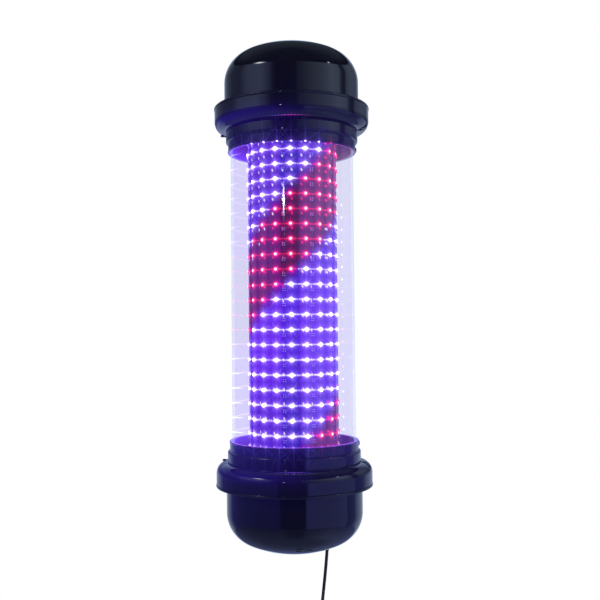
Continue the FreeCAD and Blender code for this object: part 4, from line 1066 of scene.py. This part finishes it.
def collar(name, rim, outward, node):
    """One collar, turned, joined and cut."""
    made = turned(name, supported(COLLAR_OUTSIDE + COLLAR_INSIDE), rim, outward)
    for azimuth, post_end in SCREW_POSTS:
        place = rim, outward, Vector((*round_about(AXIS, SCREW_CIRCLE * MM, azimuth / 360), 0))
        well = rod("well", *WELL, *place)
        solid = [(INNER_EDGE, 20), (STEP_RADIUS, 20), *COLLAR_OUTSIDE[-SHOULDER_POINTS:],
                 (INNER_EDGE, FLANGE_HEIGHT)]
        worked(well, "INTERSECT", turned("skin", solid, rim, outward))
        worked(made, "UNION", well)
        pocket = rod("pocket", *POCKET, *place)
        worked(pocket, "DIFFERENCE", rod("neck_core", STEP_RADIUS, 0, 60, rim, outward, AXIS, SEGMENTS))
        worked(made, "DIFFERENCE", pocket)
        worked(made, "UNION", rod("post", POST_RADIUS, post_end, POST_END, *place))
    pad_low, pad_high = sorted(rim + outward * level for level in PAD_LEVELS)
    pad = loose_object("pad", box_form((-PAD_HALF_WIDTH, AXIS.y, pad_low),
                                       (PAD_HALF_WIDTH, AXIS.y + PAD_REACH, pad_high)))
    worked(pad, "DIFFERENCE", rod("pad_bore", *PAD_BORE, rim, outward, AXIS))
    worked(made, "UNION", pad)
    return finish_piece(smooth(made), "cap_plastic", replaced=[node])


# %% Make both collars
collar("upper_collar_moulding", UPPER_RIM, 1, "upper_collar")
collar("lower_collar_moulding", LOWER_RIM, -1, "lower_collar")

# %% [markdown]
# ## The clear tube
# The tube is an extruded acrylic pipe with a 3 mm wall, open at both ends.

# %% Tube
def pipe_outline(outer, wall, reach):
    """The section of a plain pipe wall, in millimetres from sizes in metres."""
    outer, inner, reach = outer / MM, (outer - wall) / MM, reach / MM
    return supported([(inner, -reach), (outer, -reach), (outer, reach), (inner, reach)])


tube_wall = pipe_outline(TUBE_RADIUS, TUBE_WALL, (TUBE_HIGH.z - TUBE_LOW.z) / 2)
tube = smooth(turned("acrylic_tube", tube_wall, MIDDLE, 1))
finish_piece(tube, "clear_plastic", replaced=["clear_tube"])

# %% [markdown]
# ## Strips and lights
# Nineteen strips stand round the pipe with twenty-two lights on each. Geometry Nodes lays
# one small part out on that lattice: it makes the points, works out from their numbers
# which lights are red, turns a copy of the part to each place, and makes the copies real
# so that an export keeps them. The same tree lays the strips, the lights and their lenses.

# %% The tree that lays parts round the column
lay = bpy.data.node_groups.new("laid_round_the_column", "GeometryNodeTree")
lay.is_modifier = True
INPUTS = {}
for socket_name, kind, value in (
        ("Columns", "Int", STRIP_COUNT), ("Column step", "Int", 1), ("Rows", "Int", ROW_COUNT),
        ("First row", "Float", FIRST_ROW), ("Row pitch", "Float", ROW_PITCH), ("Turn", "Float", 0.0),
        ("Part", "Object", None), ("Finish", "Material", None)):
    socket = lay.interface.new_socket(socket_name, in_out="INPUT", socket_type="NodeSocket" + kind)
    if value is not None:
        socket.default_value = value
    INPUTS[socket_name] = socket.identifier
lay.interface.new_socket("Geometry", in_out="OUTPUT", socket_type="NodeSocketGeometry")
given = {socket.name: Wire(socket) for socket in lay.nodes.new("NodeGroupInput").outputs}
number = Wire(lay.nodes.new("GeometryNodeInputIndex").outputs[0])
column = calc("FLOOR", number / given["Rows"])
row = calc("FLOORED_MODULO", number, given["Rows"])
turn = column * given["Column step"] + given["Turn"]
half_round = STRIP_COUNT // 2
from_front = calc("FLOORED_MODULO", calc("ROUND", turn) + half_round, STRIP_COUNT) - half_round
swing = turn * (STRIP_ANGLE * DEGREE) + STRIP_TURN


def next_node(kind, **values):
    """A node of the tree with values in its sockets; its first output."""
    node = lay.nodes.new("GeometryNode" + kind)
    for key, value in values.items():
        feed(node.inputs[key], value)
    return Wire(node.outputs[0])


height = given["First row"] + row * given["Row pitch"]
points = next_node("Points", Count=given["Columns"] * given["Rows"], Position=join(AXIS.x, AXIS.y, height))
named = next_node("StoreNamedAttribute", Geometry=points, Name="red_light",
                  Value=in_red(from_front, row, 0.2) > 0.5)
picked = lay.nodes.new("GeometryNodeObjectInfo")
feed(picked.inputs["Object"], given["Part"])
placed = next_node("InstanceOnPoints", Points=named, Instance=Wire(picked.outputs["Geometry"]),
                   Rotation=join(0.0, 0.0, swing))
real = next_node("RealizeInstances", Geometry=placed)
painted = next_node("SetMaterial", Geometry=real, Material=given["Finish"])
feed(lay.nodes.new("NodeGroupOutput").inputs[0], painted)
print(lay.name, len(lay.nodes), "nodes")

# %% How a part is laid
def laid(name, part, finish, slot, replaced=(), **settings):
    """Lays copies of a part round the column and keeps them as one plain mesh."""
    holder = bpy.data.objects.new(name, bpy.data.meshes.new(name))
    scene.collection.objects.link(holder)
    step = holder.modifiers.new("laid", "NODES")
    step.node_group = lay
    step[INPUTS["Part"]] = part
    step[INPUTS["Finish"]] = finish
    for key, value in settings.items():
        step[INPUTS[key.replace("_", " ").capitalize()]] = value
    mesh = bpy.data.meshes.new_from_object(holder.evaluated_get(bpy.context.evaluated_depsgraph_get()))
    holder.modifiers.clear()
    holder.data = mesh
    used = part.data
    bpy.data.objects.remove(part)
    bpy.data.meshes.remove(used)
    return finish_piece(holder, slot, replaced=replaced)


# %% One strip
STRIP_HALF_LENGTH = (STRIP_HIGH.z - STRIP_LOW.z) / 2
STRIP_HALF_ANGLE = 6.2 * DEGREE
STRIP_BACK, STRIP_EDGE, STRIP_FACE = 55.0, 57.2, STRIP_RADIUS / MM
CORNER_TURN = 0.008
side = ((STRIP_BACK, 0.0), (STRIP_EDGE, 0.0), (STRIP_FACE, CORNER_TURN))
strip_ring = (
    [(radius, inset - STRIP_HALF_ANGLE) for radius, inset in side]
    + [(STRIP_FACE, share * STRIP_HALF_ANGLE) for share in (-0.66, -0.33, 0, 0.33, 0.66)]
    + [(radius, STRIP_HALF_ANGLE - inset) for radius, inset in side[::-1]]
    + [(STRIP_BACK, share * STRIP_HALF_ANGLE) for share in (0.5, 0, -0.5)])
strip_heights = (-STRIP_HALF_LENGTH, -STRIP_HALF_LENGTH + MM, STRIP_HALF_LENGTH - MM, STRIP_HALF_LENGTH)
one_strip = smooth(skinned("one_strip", [
    [(radius * MM * math.sin(a), -radius * MM * math.cos(a), height) for radius, a in strip_ring]
    for height in strip_heights]))
laid("strip_boards", one_strip, strip_black, "led_strip", replaced=STRIP_NAMES,
     Rows=1, First_row=COLUMN_MIDDLE)

# %% Materials of a light
# The package gives off the column's painted glow round its lens; the lens is the lamp itself.
lamp_white = lit_by(moulded_material(
    "light_package", (0.14, 0.13, 0.18), 0.35, grain=0.3 * MM, dust=0.02, bump=0.5, depth=0.02 * MM),
    glow, 1.1)
lamp_lens, tree, shader = surface("light_lens", Roughness=0.2)
attribute = tree.nodes.new("ShaderNodeAttribute")
attribute.attribute_name = "red_light"
is_red = Wire(attribute.outputs["Fac"])
cell = use_group(tree, lattice)
core = bell(span(cell["Aside"], cell["Above"]), 1.0)
red_lens = mix(core, (2.6, 0.0, 0.06), (6.0, 3.6, 3.6))
white_lens = mix(core, (7.0, 6.0, 12.0), (12.0, 11.5, 14.0))
feed(shader.inputs["Base Color"], mix(is_red, (0.8, 0.8, 0.85), (0.8, 0.3, 0.3)))
give_off(lamp_lens, mix(is_red, white_lens, red_lens))
print(lamp_white.name, lamp_lens.name)

# %% One light: a square package with a round lens
HALF_LIGHT = 2.5
CUT_CORNER = 2.0
outline = [(-HALF_LIGHT, -CUT_CORNER), (-CUT_CORNER, -HALF_LIGHT), (CUT_CORNER, -HALF_LIGHT),
           (HALF_LIGHT, -CUT_CORNER), (HALF_LIGHT, CUT_CORNER), (CUT_CORNER, HALF_LIGHT),
           (-CUT_CORNER, HALF_LIGHT), (-HALF_LIGHT, CUT_CORNER)]
package = skinned("one_package", [[(x * size * MM, -radius * MM, z * size * MM) for x, z in outline]
                                  for radius, size in ((57.5, 1.0), (58.75, 1.0), (59.0, 0.95))])
laid("light_packages", package, lamp_white, "led_strip")

LENS_CORNERS = 12
circle = [(math.cos(2 * math.pi * i / LENS_CORNERS), math.sin(2 * math.pi * i / LENS_CORNERS))
          for i in range(LENS_CORNERS)]
lens = skinned("one_lens", [[(size * MM * c, -radius * MM, size * MM * s) for c, s in circle]
                            for radius, size in ((58.95, 2.0), (59.1, 1.9), (59.18, 1.2))])
laid("light_lenses", smooth(lens, 60), lamp_lens, "led_strip")

# %% [markdown]
# Between the strips, under every row, sit four small solder pads where one strip is wired to
# its neighbour. They show as dim violet dots, a glint of the lights painted into their material.
# The same tree lays them, two columns apart and turned by half a column, so that they fall in
# every second gap.

# %% Solder pads in the gaps
pad_paint = moulded_material("solder_pad", (0.25, 0.23, 0.26), 0.4, grain=0.2 * MM, dust=0.02, bump=0.5,
                             depth=0.02 * MM)
in_band = use_group(pad_paint.node_tree, lattice)["Band"]
# Painted glint: the pads give off violet, dimmer and redder in the red band.
give_off(pad_paint, mix(in_band, (0.15, 0.07, 0.72), (0.17, 0.04, 0.4)))
PAD_SIZE = 1.3
PAD_BACK, PAD_FACE = 54.8, 56.2
PAD_BEVEL = 0.2 * MM
pads_form = bmesh.new()
for across, upward in ((-1.4, 1.3), (1.4, 1.3), (-1.4, -1.3), (1.4, -1.3)):
    bmesh.ops.create_cube(pads_form, size=1, matrix=Matrix.LocRotScale(
        Vector((across, -(PAD_BACK + PAD_FACE) / 2, upward)) * MM, None,
        Vector((PAD_SIZE, PAD_FACE - PAD_BACK, PAD_SIZE)) * MM))
bmesh.ops.bevel(pads_form, geom=pads_form.edges[:], offset=PAD_BEVEL, segments=1, affect="EDGES")
laid("strip_solder_pads", smooth(loose_object("one_pad_group", pads_form), 60), pad_paint, "led_strip",
     Columns=STRIP_COUNT // 2, Column_step=2, Turn=-0.5, First_row=FIRST_ROW - 6.5 * MM)

# %% The column's pipe
PIPE_WALL = 3.2 * MM
pipe_wall = pipe_outline(STRIP_BACK * MM, PIPE_WALL, (PIPE_HIGH.z - PIPE_LOW.z) / 2)
pipe = smooth(turned("light_column_pipe", pipe_wall, MIDDLE, 1, segments=120))
finish_piece(pipe, "pipe_plastic", replaced=["column_pipe"])

# %% [markdown]
# ## The lead's ends
# Where the lead leaves the lower dome, a gland grips it, and its ribbed sleeve keeps the lead
# from bending sharply. The sleeve is turned like the caps: its outline is a taper with
# grooves. Further down come the strap round the hank and the moulded plug.

# %% Gland with its ribbed sleeve
GLAND_LENGTH = (GLAND_SEAT - CORD_EXIT.z) / MM
THREAD_TURNS = 14
RIB_COUNT = 7
RIB_PITCH = 2.2
gland_outline = [(0, -16.0), (4.2, -16.0)]
for turn_number in range(THREAD_TURNS):
    height = -15.4 + turn_number
    gland_outline += [(4.25, height), (4.6, height + 0.3), (4.6, height + 0.5), (4.25, height + 0.8)]
gland_outline += [(4.6, -0.2), (4.6, 0.0), (6.5, 0.0)] + bend((6.0, 1.5), 0.5, 0, 90, 4)
gland_outline += [(4.9, 2.0), (4.5, 2.4)]
for rib in range(RIB_COUNT):
    start = 3.2 + rib * RIB_PITCH
    radius = 4.4 - 1.5 * start / GLAND_LENGTH
    gland_outline += [(radius, start), (radius - 0.1, start + 1.1),
                      (radius - 0.75, start + 1.3), (radius - 0.8, start + 2.0)]
gland_outline += [(3.0, GLAND_LENGTH - 0.5), (2.6, GLAND_LENGTH), (0, GLAND_LENGTH)]
gland = smooth(turned("ribbed_gland", gland_outline, GLAND_SEAT, -1, GLAND_SPOT, 48))
finish_piece(gland, "cord_vinyl", replaced=["cord_gland"])

# %% The plug
PLUG_LOW, PLUG_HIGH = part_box("plug_body")
PLUG_TOP = Vector(((PLUG_LOW.x + PLUG_HIGH.x) / 2, (PLUG_LOW.y + PLUG_HIGH.y) / 2, PLUG_HIGH.z))
PLUG_CORNERS = 40
GRIP_PITCH = 2.2


def squarish(height, half_x, half_y, square):
    """A section of the plug; a squareness of 2 gives an ellipse, and more fills its corners."""
    corners = []
    for i in range(PLUG_CORNERS):
        a = 2 * math.pi * (i + 0.5) / PLUG_CORNERS
        x, y = (math.copysign(abs(share) ** (2 / square), share) for share in (math.cos(a), math.sin(a)))
        corners.append(PLUG_TOP + Vector((x * half_x, y * half_y, height)) * MM)
    return corners


plug_sections = [(0.0, 2.6, 2.6, 2.0), (-0.3, 3.2, 3.2, 2.0)]
for rib in range(5):
    start = -0.6 - rib * GRIP_PITCH
    half = 3.5 + rib * 0.28
    plug_sections += [(start - below, half + out_by, half + out_by, 2.2)
                      for below, out_by in ((0, 0), (1.2, 0.1), (1.4, -0.6), (2.0, -0.6))]
plug_sections += [(-12.0, 5.0, 5.0, 2.4), (-13.5, 5.6, 5.2, 2.6), (-15.5, 7.6, 5.7, 3.0),
                  (-17.5, 10.0, 6.3, 3.6), (-19.0, 11.4, 6.7, 4.2), (-20.2, 12.0, 7.0, 4.6)]
for ridge in range(5):
    start = -21.0 - ridge * GRIP_PITCH
    plug_sections += [(start - below, half_x, half_y, 5.0) for below, half_x, half_y in (
        (0, 12.0, 7.0), (0.9, 12.0, 7.0), (1.2, 11.7, 6.4), (1.9, 11.7, 6.4))]
plug_sections += [(-32.2, 12.0, 7.0, 5.0), (-33.4, 12.0, 7.0, 5.0),
                  (-33.9, 11.7, 6.7, 5.0), (-34.0, 11.2, 6.3, 5.0)]
plug = smooth(skinned("moulded_plug", [squarish(*section) for section in plug_sections]), 40)
finish_piece(plug, "plug_vinyl", replaced=["plug_body"])

# %% The strap round the hank
STRAP_HALF_Y = 1.5 * CORD_DIAMETER / MM + 0.15
STRAP_HALF_X = HANK_INNER / MM + STRAP_HALF_Y
STRAP_SECTION = ((0.0, -4.5), (1.0, -4.5), (1.25, -3.9), (1.05, -3.0),
                 (1.05, 3.0), (1.25, 3.9), (1.0, 4.5), (0.0, 4.5))


def strap_loop(name, first, last, lift, steps):
    """A strap round the hank between two shares of its way round; 0 is the middle of the front."""
    closed = last - first >= 1
    sections = []
    for step in range(steps + (0 if closed else 1)):
        a = 2 * math.pi * (first + (last - first) * step / steps) - math.pi / 2
        c, s = math.cos(a), math.sin(a)
        edge_x, edge_y = (math.copysign(abs(share) ** 0.36, share) for share in (c, s))
        out_x, out_y = edge_x * 0.6 + c * 0.4, edge_y * 0.6 + s * 0.4
        sections.append([(HANK_CENTRE.x + (edge_x * STRAP_HALF_X + out_x * (thick + lift)) * MM,
                          HANK_CENTRE.y + (edge_y * STRAP_HALF_Y + out_y * (thick + lift)) * MM,
                          HANK_CENTRE.z + height * MM) for thick, height in STRAP_SECTION])
    return skinned(name, sections, closed)


strap = strap_loop("hank_strap", 0.0, 1.0, 0.0, 128)
worked(strap, "UNION", strap_loop("strap_end", -0.06, 0.13, 0.95, 40))
smooth(strap, 40)
finish_piece(strap, "tie_plastic", replaced=["hank_tie"])

# %% [markdown]
# ## Studio
# The pole hangs in an even, pale studio. Light from the world is what glossy black plastic
# shows, so the world is painted for it: tall soft panels stand left and right, the space
# straight ahead is dark, and the white wall is far behind. A camera ray sees plain white.

# %% World: where a ray points
world = bpy.data.worlds.new("studio")
scene.world = world
world.use_nodes = True
tree = world.node_tree
tree.nodes.clear()
x, y, z = split(reading(tree, "TexCoord", "Generated"))
azimuth = calc("ARCTAN2", x, y * -1) / (2 * math.pi)
elevation = calc("ARCSINE", z)


def all_round(*stops):
    """A ramp round the horizon through (degrees, shade) stops; 0 is straight ahead."""
    return ramp(azimuth + 0.5, *[((degrees + 180) / 360, shade) for degrees, shade in stops])


# %% World: the soft panels, in three levels
# Each stop of the upper panels has its direction, its strength and its tint.
BACK, LEFT, RIGHT = (0.55, 0.70, 1.0), (1.05, 1.3, 2.15), (1.0, 1.28, 1.72)
PANELS = ((-180, 1.0, BACK), (-158, 0.55, BACK), (-145, 0.35, BACK), (-119, 0.18, BACK), (-96, 0.12, LEFT),
          (-80, 0.40, LEFT), (-73, 0.46, LEFT), (-53, 0.56, LEFT), (-40, 0.32, LEFT), (-30, 0.04, LEFT),
          (-24, 0.0, LEFT), (-10, 0.0, LEFT), (8, 0.02, RIGHT), (12, 0.12, RIGHT), (17, 0.14, RIGHT),
          (35, 0.34, RIGHT), (53, 0.50, RIGHT), (73, 0.78, RIGHT), (88, 0.60, RIGHT), (95, 0.12, RIGHT),
          (103, 0.05, RIGHT), (108, 0.32, RIGHT), (119, 0.34, RIGHT), (144, 0.26, BACK), (158, 0.55, BACK),
          (180, 1.0, BACK))
panels = all_round(*[(degrees, tuple(value * share for share in tint)) for degrees, value, tint in PANELS])
low_share = fade(elevation, 13.3 * DEGREE, -1 * DEGREE)
low_level = ramp(azimuth + 0.5, (0.0, 0.6), (0.24, 0.3), (0.45, 0.22), (0.52, 0.5), (0.8, 0.58), (1.0, 0.6))
panels = mix(low_share, panels, low_level * panels)
UNDER = ((-180, (0.50, 0.64, 0.85)), (-155, (0.42, 0.52, 0.74)), (-140, (0.32, 0.37, 0.64)),
         (-128, (0.09, 0.09, 0.50)), (-26, (0.05, 0.045, 0.46)), (-22, (0.0, 0.0, 0.03)),
         (17, (0.0, 0.0, 0.03)), (21, (0.24, 0.26, 0.94)), (96, (0.26, 0.31, 0.88)),
         (100, (0.10, 0.12, 0.50)), (119, (0.12, 0.15, 0.50)), (130, (0.36, 0.45, 0.72)),
         (180, (0.50, 0.64, 0.85)))
under_share = fade(elevation, 0, -3 * DEGREE)
panels = mix(under_share, panels, all_round(*UNDER))
in_panel = fade(elevation, -27 * DEGREE, 3 * DEGREE) * fade(elevation, 31.5 * DEGREE, -1.5 * DEGREE)
print("panels", len(PANELS), "and", len(UNDER), "stops")

# %% World: above and below the panels
outside = ramp(
    elevation / (math.pi / 2) * 0.5 + 0.5, (0.0, (0.17, 0.21, 0.4)), (0.22, (0.15, 0.19, 0.38)),
    (0.36, (0.085, 0.1, 0.28)), (0.62, (0.012, 0.014, 0.02)), (0.72, (0.004, 0.004, 0.008)),
    (1.0, (0.02, 0.03, 0.035)))
aside_share = fade(abs(azimuth), 0.8 / 6, 1 / 6)
aloft = fade(elevation, 34 * DEGREE, 10 * DEGREE)
outside = outside + aside_share * aloft * (0.07, 0.1, 0.11)
side_level = ramp(azimuth + 0.5, (0.0, 0.5), (0.3, 0.42), (0.44, 0.36), (0.46, 0.2), (0.54, 0.2),
                  (0.57, 0.5), (0.7, 1.0), (0.8, 0.8), (1.0, 0.5))
slanting = fade(elevation, -68 * DEGREE, 15 * DEGREE) * fade(elevation, -15 * DEGREE, -8 * DEGREE)
outside = mix(slanting, outside, side_level * 2.2 * outside)
glossy_light = mix(in_panel, outside, panels)

# %% World: small bright lamps, and the plain white that the camera sees
# Each lamp has two directions, its width and height in degrees, and its strength.
HOT_SPOTS = ((-58, 31.6, 7.5, 1.4, 22.0), (73, 33.0, 2.0, 1.2, 12.0), (-15, 8.45, 1.0, 0.62, 50.0))
for at_turn, at_height, wide, high, power in HOT_SPOTS:
    across = bell(azimuth * 360 - at_turn, wide)
    upward = bell(elevation - at_height * DEGREE, high * DEGREE)
    glossy_light = glossy_light + across * upward * power * (1.0, 1.0, 1.05)
path = {socket.name: Wire(socket) for socket in tree.nodes.new("ShaderNodeLightPath").outputs}
seen = largest(path["Is Camera Ray"], path["Is Transmission Ray"])
light = mix(seen, mix(path["Is Glossy Ray"], (0.62, 0.63, 0.66), glossy_light), (1, 1, 1))
background = tree.nodes.new("ShaderNodeBackground")
feed(background.inputs["Color"], light)
feed(tree.nodes.new("ShaderNodeOutputWorld").inputs[0], Wire(background.outputs[0]))
print(world.name, len(tree.nodes), "nodes")

# %% Lamps
def soft_lamp(name, place, target, size, power):
    """A large soft lamp that lights but doesn't show in reflections."""
    data = bpy.data.lights.new(name, "AREA")
    data.shape = "DISK"
    data.size = size
    data.energy = power
    made = bpy.data.objects.new(name, data)
    scene.collection.objects.link(made)
    made.location = place
    made.rotation_euler = (Vector(target) - Vector(place)).to_track_quat("-Z", "Y").to_euler()
    made.visible_glossy = False
    made.visible_camera = False
    print(name, power, "watts")


soft_lamp("key_lamp", (-1.1, -1.5, 0.9), (0, -0.1, -0.25), 1.0, 18)
soft_lamp("fill_lamp", (1.3, -1.3, 0.3), (0, -0.1, -0.3), 1.2, 9)

# %% [markdown]
# The floor lies well below the pole, as it does under anything that hangs on a wall. It is no
# part of the pole, so it rides on no body. Its underside is clear, so that a camera under the
# floor still sees the switch and the gland.

# %% Floor
FLOOR_LEVEL = -1.0
FLOOR_RADIUS = 1.1
FLOOR_CORNERS = 96
floor_form = bmesh.new()
floor_rim = [(*round_about(AXIS, FLOOR_RADIUS, i / FLOOR_CORNERS), FLOOR_LEVEL)
             for i in range(FLOOR_CORNERS)]
floor_form.faces.new([floor_form.verts.new(corner) for corner in floor_rim])
floor = loose_object("pale_floor", floor_form)
floor_paint, tree, shader = surface("pale_floor_paint", Roughness=0.8)
x, y, z = split(object_place(tree))
out_share = span(x, y - AXIS.y) / FLOOR_RADIUS
feed(shader.inputs["Base Color"], ramp(out_share, (0.0, 0.8), (1.0, 0.86)))
give_off(floor_paint, ramp(out_share, (0.0, 0.1), (0.6, 0.2), (1.0, 0.55)))
feed(shader.inputs["Alpha"], 1 - reading(tree, "NewGeometry", "Backfacing"))
floor.data.materials.append(floor_paint)
floor.visible_glossy = False

# %% [markdown]
# ## The end
# The looks must not change the size of the pole. The last line shows the colours through the
# plain Standard view transform.

# %% Finish
scene.view_settings.view_transform = "Standard"
